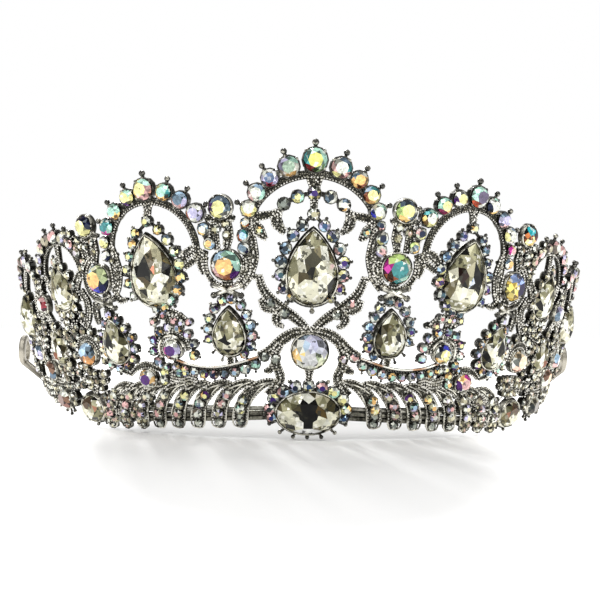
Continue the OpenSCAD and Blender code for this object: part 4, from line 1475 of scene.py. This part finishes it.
def makeCentre():
    crest = Crest("Centre", 1)
    archFoot = (0, 46.4)
    ovalMiddle = (0, 5.9)
    garland = [(1.7, 50.1, 2.6), (3.1, 47.8, 2.7), (4.25, 44.9, 2.7), (4.95, 41.8, 2.8), (4.95, 38.8, 2.8),
               (4.5, 35.7, 2.5)]
    crest.band(arcRoute(archFoot, 15.2, -100, 100, 26), [1.9, 2.0, 1.9], rough=0.05, edges=[-0.62])
    setStone(crest, "centre_pear")
    setStone(crest, "front_oval")
    for side in (1, -1):
        crest.side = side
        plain, warm = ("dusk", "honey") if side > 0 else ("steel", "steel")
        crest.row(centreRow if side > 0 else centreRow[1:], archFoot, 3.8)
        crest.band([(10.4, 50.2), (9.9, 46.5), (9.8, 42.5), (10.4, 38.6), (11.6, 36)], [2.6, 3.8, 2.4],
                   rough=0.3)
        crest.band([(10.4, 38.6), (8.4, 38)], [1.2, 1.2, 1.2])
        crest.band([(8.6, 38.6), (7.9, 35.6), (6.6, 33.0), (5.0, 31.0), (2.8, 29.0), (1.2, 27.0),
                    (0.2, 25.2)], [1.6, 2.8, 1.8])
        crest.band([(5.3, 30.6), (6.5, 30.8), (7.6, 31.5), (8.3, 33.2)], [1.8, 2.6, 0.9])
        crest.band([(4.4, 30.6), (5.4, 29.4), (5.7, 28.1), (5.2, 27.1), (4.4, 26.6)], [2.4, 2.3, 0.7])
        crest.cup(4.3, 29.8, 2.3, "steel", lift=0.35)
        crest.band([(4.8, 53.8), (6.4, 52.6), (8.4, 52), (10.4, 50.6)], [1.0, 1.9, 2.2])
        crest.band([(5.4, 53.2), (5.7, 51.4), (5.3, 49.8), (4.3, 48.4)], [1.6, 2.7, 1.0], rough=0.3)
        crest.band([(9.8, 51.4), (8.8, 49.4), (7.3, 47)], [2.2, 3.0, 0.8], rough=0.25)
        crest.cup(8.3, 48.9, 1.8, "honey", lift=0.4)
        crest.cup(6.6, 32.3, 2.2, plain, lift=0.35)
        cups(crest, garland, "night", (0, 40.6))
        links(crest, [(0, 52.7)] + garland)
        cups(crest, [(3.2, 33.6, 2.2)], "honey")
        crest.cup(2.5, 56.6, 2.9, "night" if side > 0 else "honey")
        crest.cup(4.6, 54.9, 2.85, warm)
        # the arms over the big round stone, and the bell below them
        crest.band([(0, 25.8), (2.8, 25.2), (5.2, 23), (6.9, 21), (8.8, 19.6)], [2.0, 2.7, 1.8])
        crest.band([(4.9, 22.8), (5.9, 19.8), (5.6, 17), (5, 14.6), (5.7, 12.2), (7.2, 10)], [1.9, 2.3, 2.6])
        cups(crest, [(5.8, 18.9, 2.2), (7.7, 19.4, 2.2)], plain)
        crest.band([(6, 17.4), (6.9, 16.2), (7.9, 16)], [1.8, 1.9, 0.7], rough=0.25)
        cups(crest, [(2.35, 12.15, 2.7), (6.6, 4.5, 2.3)], "night")
        cups(crest, [(4.5, 11, 2.75), (6.25, 9.2, 2.75), (6.95, 6.7, 2.6)], "night" if side < 0 else "honey")
        balls(crest, ovalMiddle, [(3.3, 13.6), (7.9, 5.4), (7.1, 3), (5.2, 0.9), (2.7, -0.2)],
              0.56, 1.3, 1.6)
    crest.side = 1
    crest.wire([(-5.2, 54.3), (-2.5, 56.6), (0, 57.4), (2.5, 56.6), (5.2, 54.3)], 0.6, 0.7,
               material=darkSilver)
    cups(crest, [(0, 12.5, 2.6), (0, 57.4, 3.0)], "night")
    crest.cup(0, 52.7, 2.7, "smoke")
    crest.band([(0, 61.6), (0, 60.2), (0, 57), (0, 53.8)], [4.2, 1.8, 1.6], rough=0.25)
    crest.band([(0, 16.8), (0, 15.2), (0, 13.4)], [2.6, 1.5, 1.8])
    balls(crest, ovalMiddle, [(0, -0.26)], 0.56, 1.3, 1.6)
    crest.roundSeat(0, 20.9, 8.4, 4)
    balls(crest, (0, 38), [(-4.0, 32.5), (0.1, 30.6), (4.1, 32.5)], 0.66, 2.2, 2.2)
    crest.make("centre_crest")
    both = [(-th, v, d) for th, v, d in reversed(centreRow[1:])] + centreRow
    stonesOnRow("centre_arch_stones", both, 1, "opal", 5, centreTints)


def steps(place, *moves):
    return [stepFrom(place, across, up) for across, up in moves]


def leaves(crest, th, top, foot):
    # two upright leaves with a slit between them, under the wings that carry the top round
    wings = steps((th, top), (-3.2, 0.6), (-1.6, 0.9), (0, 0.2), (2, 0.9), (3.8, 0.2))
    crest.band(wings, [1.2, 2.2, 1.2], rough=0.25)
    for k in (-1, 1):
        leaf = steps((th, top), (k * 1.5, -0.2), (k * 1.7, (foot - top) / 2), (k * 1.1, foot - top - 0.6))
        crest.band(leaf, [1.8, 2.3, 1.4], rough=0.3)
    below = [(th - 0.7, top - 0.7, 1.9), (th + 0.9, top - 1.9, 2.0), (th - 0.9, top - 3.2, 2.0)]
    cups(crest, below, "smoke")


def bow(crest, th, v, size=1.0):
    # two crossed rods with balls at their ends, tied in the middle
    for k in (-1, 1):
        ends = steps((th, v), (-3.2 * k * size, 1.1 * size), (3.2 * k * size, -1.3 * size))
        crest.rod(*ends, 0.75 * size)
        for end in ends:
            crest.balls.append(crest.place(*end, setting["rodRise"], 0, 0.85 * size))
    crest.band(steps((th, v), (0, 2.8 * size), (0, -2.6 * size)), [2.2, 3.0, 2.2], 1.0, rough=0.3)


def seatInBand(crest, node, reach, start, end, width=1.8):
    # a round stone with a beaded crescent standing off it
    _, th, v, d, *_ = stoneOf(node)
    crest.roundSeat(th, v, d)
    crest.band(arcRoute((th, v), reach, start, end, 16), [1.0, width, 1.0], rough=0.06)


def curl(crest, node, r, count, d, family, start=-105, end=125):
    # a round stone in a beaded curl, with a string of cups along the curl's back
    _, th, v, size, *_ = stoneOf(node)
    crest.roundSeat(th, v, size)
    crest.band(arcRoute((th, v), r + 0.2, start + 10, end, 14), [1.0, 1.7, 0.9], rough=0.06)
    links(crest, arcRoute((th, v), r + 1.3, start, end, 14))
    for k in range(count):
        a = math.radians(start + (end - start) * k / (count - 1))
        spot = stepFrom((th, v), (r + 1.9) * math.sin(a), (r + 1.9) * math.cos(a))
        crest.cup(*spot, d, family, math.degrees(a), ballSize=0.38)


def makeArch(side, sign):
    crest = Crest("Arch" + side.capitalize(), sign)
    crest.roundSeat(14.4, 54.2, 5.2)
    leaves(crest, 14.4, 51, 45)
    crest.band([(17.6, 50.6), (16.9, 47.4), (15.6, 45)], [1.2, 1.6, 1.1])
    seatInBand(crest, "column_round", 5.1, 70, 290, 1.4)
    crest.band([(17.2, 44.2), (17.9, 41.6), (17.4, 38.8)], [1.8, 2.4, 1.6], rough=0.25)
    bow(crest, 13.7, 35.2)
    setStone(crest, "column_pear")
    # the cups round it, from the top down, left and right by turns
    ring = [(13.1, 33, 2.2), (14.7, 32.5, 2.2), (11.6, 31.4, 2.2), (16.1, 30.6, 2.2), (10.7, 29.2, 2.2),
            (17, 28.3, 2.2), (10, 26.8, 2.3), (17.4, 25.9, 2.2), (9.8, 24.3, 2.3), (17.3, 23.4, 2.0),
            (10.1, 21.9, 2.2), (11.2, 19.9, 1.9)]
    cups(crest, ring, "opal" if sign < 0 else "night", (13.7, 25.6), 0.4)
    links(crest, ring[::2] + ring[-1:], ring[:1] + ring[1:-1:2])
    balls(crest, (13.7, 24), [(12.6, 18.2), (15.2, 18.4), (16.8, 20.2)], 0.45, 1.2, 1.4)
    crest.band([(17.6, 43.2), (19, 44.4), (20.4, 43.4), (21.3, 42)], [1.8, 2.4, 1.8], rough=0.3)
    crest.band([(18.4, 42.4), (19.6, 41.6), (20.9, 40.2)], [1.4, 1.6, 1.2])
    # the second arch, its stem, its pear and the limb on its outer side
    archFoot = (26.8, 44.2)
    crest.band(arcRoute(archFoot, 11.7, -100, 100, 22), [1.8, 1.9, 1.8], rough=0.05, edges=[-0.62])
    crest.row(secondRow, archFoot, 3.8)
    crest.band([(26.8, 55.4), (26.8, 54), (27, 52.4)], [3.8, 1.8, 1.6], rough=0.25)
    top = (27.1, 51.2, 2.5)
    crest.cup(*top, "honey")
    setStone(crest, "arch_pear")
    inward = [(25.2, 49.2, 2.3), (23.7, 46.8, 2.5), (22.5, 44.1, 2.5), (21.7, 41.2, 2.6), (21.7, 38, 2.6),
              (22.4, 35, 2.6), (23.7, 32.5, 2.4), (25, 30.8, 2.1)]
    outward = [(29.4, 48.4, 2.3), (30.2, 46, 2.4), (31, 43, 2.4), (31.8, 39.8, 2.4), (31.7, 36.6, 2.3),
               (30.9, 33.6, 2.2)]
    cups(crest, inward + [(26.7, 30.5, 2.1)] + outward, "honey" if sign < 0 else "night", (26.8, 39.6))
    links(crest, [top] + inward, [top] + outward)
    crest.band([(35.3, 46.4), (34.5, 42.4), (34.2, 39), (34.5, 36), (35.2, 34)], [2.2, 3.6, 2.0], rough=0.3)
    crest.band([(35.4, 34), (34, 32.4), (32.6, 32.8)], [1.6, 1.6, 0.8])
    crest.band([(31.6, 38.6), (34.4, 39.4)], [1.5, 1.5, 1.5], 0.8, ropes=False)
    # the curled bracket and the beaded swag that hangs from it
    curl(crest, "curl_round", 3.5, 9, 2.2, "opal")
    crest.wire(arcRoute((24.4, 20.9), 3.25, -80, 130, 12), 0.34, 1.6)
    crest.band([(24.4, 24.2), (24.6, 27), (25.2, 29.6)], [1.4, 1.8, 2.2], rough=0.3)
    crest.band([(27, 27.6), (26.2, 29.2), (24.6, 29.9), (22.6, 29), (21, 27.4)], [1.0, 1.8, 1.0])
    pave(crest, [(20.2, 26.4), (21.8, 29.4), (24.6, 30.2), (27, 29.2), (27.8, 26.8), (26, 27.4),
                 (24.2, 27.8), (22.2, 27.2)], 1.9, 1.9, "petal", 0.75)
    swag = [(24.4, 18.4), (21.6, 17), (18, 16.4), (15, 16.7), (12, 17.7), (8.8, 19.2)]
    crest.band([(th, v - 0.4) for th, v in swag], [1.2, 1.3, 1.1], 0.95, rough=0.05, edges=[0.0])
    crest.wire([(th, v + 0.2) for th, v in swag], 0.34, 1.3, material=copperSilver)
    fringe = [(9.3, 17.4, 2.2), (11.1, 16.3, 2.3), (13, 15.5, 2.3), (14.9, 14.9, 2.1), (16.8, 14.8, 2.1),
              (18.7, 14.9, 2.1), (20.5, 15.3, 2.1), (22.3, 15.8, 2.1), (24, 16.4, 2.1)]
    cups(crest, fringe, "opal")
    for th, v, _ in fringe[:7]:
        crest.ball(th, v, 180, 1.75, 0.34)
    crest.band([(13.7, 20), (13.7, 17)], [2.0, 1.5, 1.5])
    pave(crest, [(21.4, 15.2), (25.6, 17.4), (28.4, 18.4), (28.6, 16.6), (25.4, 14.6), (22, 13.9)],
         1.9, 1.8, "opal", 0.5)
    crest.make("arch_crest_" + side)
    stonesOnRow("second_arch_stones_" + side, secondRow, sign, "opal", 11 + sign,
                secondLeftTints if sign < 0 else secondRightTints)


def makeSide(side, sign):
    crest = Crest("Side" + side.capitalize(), sign)
    crest.roundSeat(40.1, 50.8, 5.2)
    leaves(crest, 39.9, 47.6, 42)
    seatInBand(crest, "column_round_2", 5.4, 20, 215, 1.9)
    pave(crest, [(40.6, 47), (43.4, 48.6), (46.2, 50.3), (47.6, 49), (44.6, 46.4), (43.4, 43), (43, 39.6),
                 (42, 39.4), (41.4, 43)], 2.0, 1.9, "smoke", 0.75)
    pave(crest, [(34.9, 40), (36, 43.4), (35.2, 45.6), (34.2, 44), (33.8, 40)], 1.5, 1.4, "smoke", 0.2)
    bow(crest, 37.4, 31.8, 0.9)
    setStone(crest, "column_pear_2")
    haloRound(crest, "column_pear_2", "opal", 2.2)
    # the third arch, its stem and its pear
    archFoot = (49.3, 38.6)
    crest.band(arcRoute(archFoot, 8.8, -96, 96, 18), [1.7, 1.8, 1.7], rough=0.05, edges=[-0.62])
    crest.row(thirdRow, archFoot, 2.6)
    crest.band([(49.3, 47), (49.3, 44.6), (49.3, 42)], [2.4, 1.6, 1.5], rough=0.2)
    setStone(crest, "side_pear")
    haloRound(crest, "side_pear", "smoke", 2.3)
    crest.band([(43.2, 39.4), (44.6, 37.2), (45.2, 35)], [2.2, 2.6, 1.8], rough=0.3)
    crest.band([(44, 35), (42.6, 32), (42.9, 28.4), (44.2, 25.6)], [2.0, 2.4, 1.8], rough=0.3)
    crest.band([(40.4, 32), (40.6, 29), (40.2, 26.4)], [1.6, 2.2, 1.2], rough=0.3)
    crest.band([(55, 39), (54.4, 36.4), (53.4, 34.4)], [1.8, 2.2, 1.5], rough=0.3)
    pave(crest, [(43.4, 30.6), (48, 28.8), (52.6, 30), (52, 26.6), (48.4, 24.4), (44.6, 25.8)],
         2.0, 1.8, "smoke", 0.6)
    curl(crest, "curl_round_2", 4.0, 9, 2.1, "smoke")
    pave(crest, [(47.4, 26.2), (52, 26), (52.2, 21.4), (49.4, 20), (47.8, 22.6)], 1.9, 1.9, "smoke", 0.7)
    crest.band([(40.6, 20.6), (39, 18), (36.6, 15.4), (33.8, 14.2)], [1.4, 2.0, 1.0], rough=0.2)
    crest.band([(44.3, 14.6), (44.6, 12), (45.4, 8.6)], [2.6, 3.6, 3.6], rough=0.3)
    crest.band([(40.4, 12.2), (42.6, 11.2), (45, 11.8), (48.8, 11)], [1.4, 2.4, 1.4], rough=0.3)
    pave(crest, [(40.4, 13.6), (44, 15.6), (49.6, 14.8), (51, 10.4), (48, 9), (42.6, 9.2), (40.2, 10.6)],
         2.0, 1.9, "smoke", 0.7)
    setStone(crest, "side_oval")
    balls(crest, (46.2, 4.4), [(43.4, 1.2), (46.2, -0.1), (49, 0.9)], 0.5, 1.1)
    # the cluster at the rib band's end
    pave(crest, [(40.2, 8.2), (43, 8.4), (42.6, 4.6), (43.2, 1), (41.8, 0.8), (40.6, 3)],
         1.7, 1.7, "smoke", 0.6)
    balls(crest, (41.8, 3), [(41, 0.2), (42.4, -0.2), (43.5, 0.4)], 0.42, 0.9)
    crest.make("side_crest_" + side)
    stonesOnRow("third_arch_stones_" + side, thirdRow, sign, "dusk", 23 + sign)


def makeEnd(side, sign):
    crest = Crest("End" + side.capitalize(), sign)
    seatInBand(crest, "column_round_3", 3.9, 20, 200, 1.6)
    crest.band([(58.8, 38), (58.6, 36), (58, 34.2)], [1.8, 2.8, 1.8], rough=0.3)
    pave(crest, [(56.6, 39.8), (60.4, 38.8), (60.6, 35), (59.8, 33.4), (56.6, 34.6)], 1.9, 1.8, "smoke", 0.7)
    crest.band([(57.4, 28.8), (56.2, 26.6), (55.2, 24.4)], [1.8, 2.6, 2.2], rough=0.3)
    setStone(crest, "column_pear_3")
    haloRound(crest, "column_pear_3", "smoke", 2.2)
    # the fourth arch, its stem and its pear
    archFoot = (66.2, 34.6)
    crest.band(arcRoute(archFoot, 7.0, -96, 96, 16), [1.6, 1.7, 1.6], rough=0.05, edges=[-0.62])
    crest.row(fourthRow, archFoot, 2.6)
    crest.band([(66.2, 41.8), (67.2, 39.4), (69.6, 36.2)], [2.2, 1.4, 1.4], rough=0.2)
    setStone(crest, "end_pear")
    haloRound(crest, "end_pear", "smoke", 2.2)
    crest.band([(61.4, 35), (62.4, 32), (62.6, 28)], [1.8, 2.2, 1.6], rough=0.3)
    crest.band([(60.2, 30), (60.6, 26), (62, 22.6)], [1.6, 2.2, 1.6], rough=0.3)
    pave(crest, [(58.6, 27.6), (62.6, 26.4), (63.4, 22.4), (60.6, 19.4), (58.4, 21.6)],
         1.9, 1.8, "smoke", 0.7)
    pave(crest, [(62.4, 24.4), (67, 23.2), (71.6, 24), (73.6, 20), (71, 21.4), (66, 22.4), (62.8, 21.6)],
         1.8, 1.7, "smoke", 0.7)
    curl(crest, "curl_round_3", 3.3, 8, 2.1, "smoke")
    for spot in ((70.2, 22.8, 2.8), (72.6, 21, 2.6), (71.4, 18.6, 2.6), (73.8, 18.2, 2.5), (72.2, 16, 2.4),
                 (74.2, 15.4, 2.4), (72.8, 13.4, 2.3), (70.4, 13.8, 2.3)):
        crest.cup(*spot, "dusk", lift=0.9)
    crest.band([(56.6, 17.4), (60.4, 17.2)], [1.6, 1.8, 1.6])
    crest.band([(66.2, 15.8), (64.2, 13.9), (62.4, 12.9)], [1.6, 1.8, 1.6])
    crest.roundSeat(60.4, 13.6, 5.4)
    crest.roundSeat(56.6, 6, 5.4)
    balls(crest, (56.6, 6), [(54.6, 2.6), (56.6, 1.6), (58.6, 2.4)], 0.5, 1.1)
    crest.band([(51.8, 10), (57, 10.4), (64, 10.6), (71, 9.8), (77.4, 8.2)], [1.6, 3.0, 1.6], rough=0.2)
    crest.band([(59.6, 6.4), (66, 6.2), (72, 6.6), (77.4, 8)], [1.6, 2.0, 1.4], rough=0.2)
    crest.band([(72, 33), (74.6, 26), (75.4, 18), (75, 11), (76.2, 8.4)], [1.6, 2.4, 1.6], rough=0.2)
    crest.band([(71.4, 28.6), (74.2, 27)], [1.5, 1.5, 1.5])
    pave(crest, [(50.8, 14.6), (56.6, 15.4), (57.4, 11.2), (54, 8.6), (50.6, 9)], 2.0, 1.9, "smoke", 0.7)
    pave(crest, [(51.4, 8.6), (62, 9), (64.4, 5.6), (62.4, 2.6), (60.2, 4.4), (59.6, 8), (53.6, 8),
                 (52.6, 4), (51.4, 5)], 1.9, 1.9, "smoke", 0.8)
    pave(crest, [(62.6, 11.8), (74.8, 11.6), (75, 8.6), (66, 5.8), (60.4, 6.6), (60.2, 10)],
         2.0, 1.9, "smoke", 0.75)
    crest.make("end_crest_" + side)
    stonesOnRow("fourth_arch_stones_" + side, fourthRow, sign, "dusk", 37 + sign)


# The low bands of ribs, each rib bent over to lie on the one before it, with bars behind them
ribs = {
    "count": 8,
    "first": 12.4,
    "pitch": 4.1,
    "drop": 0.075,
    "dropFrom": 12,
    "route": ((0, 3.4), (-0.3, 6.6), (-1.5, 9.6), (-3.6, 12), (-5.6, 12.9), (-7.2, 12.2)),
    "widths": (3.7, 3.5, 1.5),
    "edges": (1.75, 1.85, 1.65, 1.3, 0.9),
    "edgeLean": -0.25,
    "foot": ((-0.95, -1.3), (0.95, -1.3)),
    "crowded": 5,  # from this rib on, the cups at the feet stand three together
    "stones": ((-0.1, 5.7), (-0.7, 8.1), (-2.0, 10.3)),
    "firstLift": 0.9,
    "barStart": 7.6,
    "bars": ((3.9, 0.6, barSilver), (5.1, 0.66, barSilver), (6.4, 0.5, railSilver)),
}


def sinkAt(th, v):
    # the ribs hang a little lower toward the crown's ends
    return v - ribs["drop"] * (th - ribs["dropFrom"])


def sunk(th, v):
    return (th, sinkAt(th, v))


def makeRibs(side, sign):
    crest = Crest("Ribs" + side.capitalize(), sign)
    for i in range(ribs["count"]):
        b = ribs["first"] + ribs["pitch"] * i
        crowded = i >= ribs["crowded"]
        route = [sunk(b + dth, v) for dth, v in ribs["route"]]
        crest.band(route, ribs["widths"], edges=(-0.84, 0.84))
        near, far = [[stepFrom(spot, k * w, ribs["edgeLean"] * k * w)
                      for spot, w in zip(route, ribs["edges"])] for k in (-1, 1)]
        crest.wire(near[::-1] + steps(route[0], *ribs["foot"]) + far, 0.24, 1.3, 0.9)
        if crowded:
            feet = [(b - 0.75, 4.0, 1.9), (b + 0.75, 3.7, 1.8), (b, 2.4, 1.6)]
        else:
            feet = [(b, 3.1, 2.1)] if i else [(b, 3.1, 2.1), (b, 4.8, 1.8)]
        cups(crest, [(th, sinkAt(b, v), d) for th, v, d in feet], "smoke" if crowded else "steel")
        for k, (dth, v) in enumerate(ribs["stones"] if i else ribs["stones"][:2]):
            family = "dusk" if crowded or (i > 0 and k == 0) else ("honey", "dusk", "opal")[i % 3]
            crest.cup(b + dth, sinkAt(b, v) + (0 if i else ribs["firstLift"]), 2.4, family, lift=0.4)
    reach = ribs["first"] + ribs["pitch"] * (ribs["count"] - 1) - ribs["barStart"]
    for v, radius, metal in ribs["bars"]:
        route = [sunk(ribs["barStart"] + reach * i / 6, v) for i in range(7)]
        crest.wire(route, radius, 0.5, material=metal)
    # the outer ribs crowd together, with grain between them
    pave(crest, [(28.6, 11.2), (42.4, 9.4), (42.4, 1.2), (36, 1.4), (32.4, 4.4), (29.4, 8.8)],
         1.7, 1.6, "smoke", 0.5)
    crest.band([(39.4, 1.8), (39, 5.4), (37.4, 9.4)], [2.6, 3.2, 2.0], 0.95, rough=0.3)
    crest.roundSeat(29.9, 13.3, 4.6)
    cups(crest, [(26.4, 15, 2.3), (26.7, 12.9, 2.3)], "honey")
    crest.band([(27.2, 15.4), (29.9, 16.6), (32.4, 15.6), (34, 14)], [1.1, 1.8, 0.8])
    for k in range(3):
        rise = 0.75 * k
        crest.band([(20.2, 12.4 + rise), (21.6, 12.9 + rise), (23.2, 12.3 + rise), (25.4, 12.9 + rise)],
                   [0.8, 0.9, 0.8], 1.1 + 0.1 * k)
    crest.make("rib_band_" + side)


makeCentre()
for side, sign in sides.items():
    makeArch(side, sign)
    makeSide(side, sign)
    makeEnd(side, sign)
    makeRibs(side, sign)

bpy.data.objects.remove(bandSection)

print("bar")
for node, metal in (("base_bar", barSilver), ("end_loop_left", loopSilver), ("end_loop_right", loopSilver)):
    bar = frame["nodes"][node]
    giveMaterial(bar, metal)
    selectOnly([bar])
    bpy.ops.object.shade_smooth_by_angle(angle=math.radians(35))

print("sizes")
total = 0
for made in bpy.context.scene.objects:
    if made.type == "MESH" and not made.hide_render:
        made.data.calc_loop_triangles()
        total += len(made.data.loop_triangles)
print("triangles", total)
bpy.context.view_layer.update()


def plain(box):
    return [[round(float(c), 6) for c in corner] for corner in box]
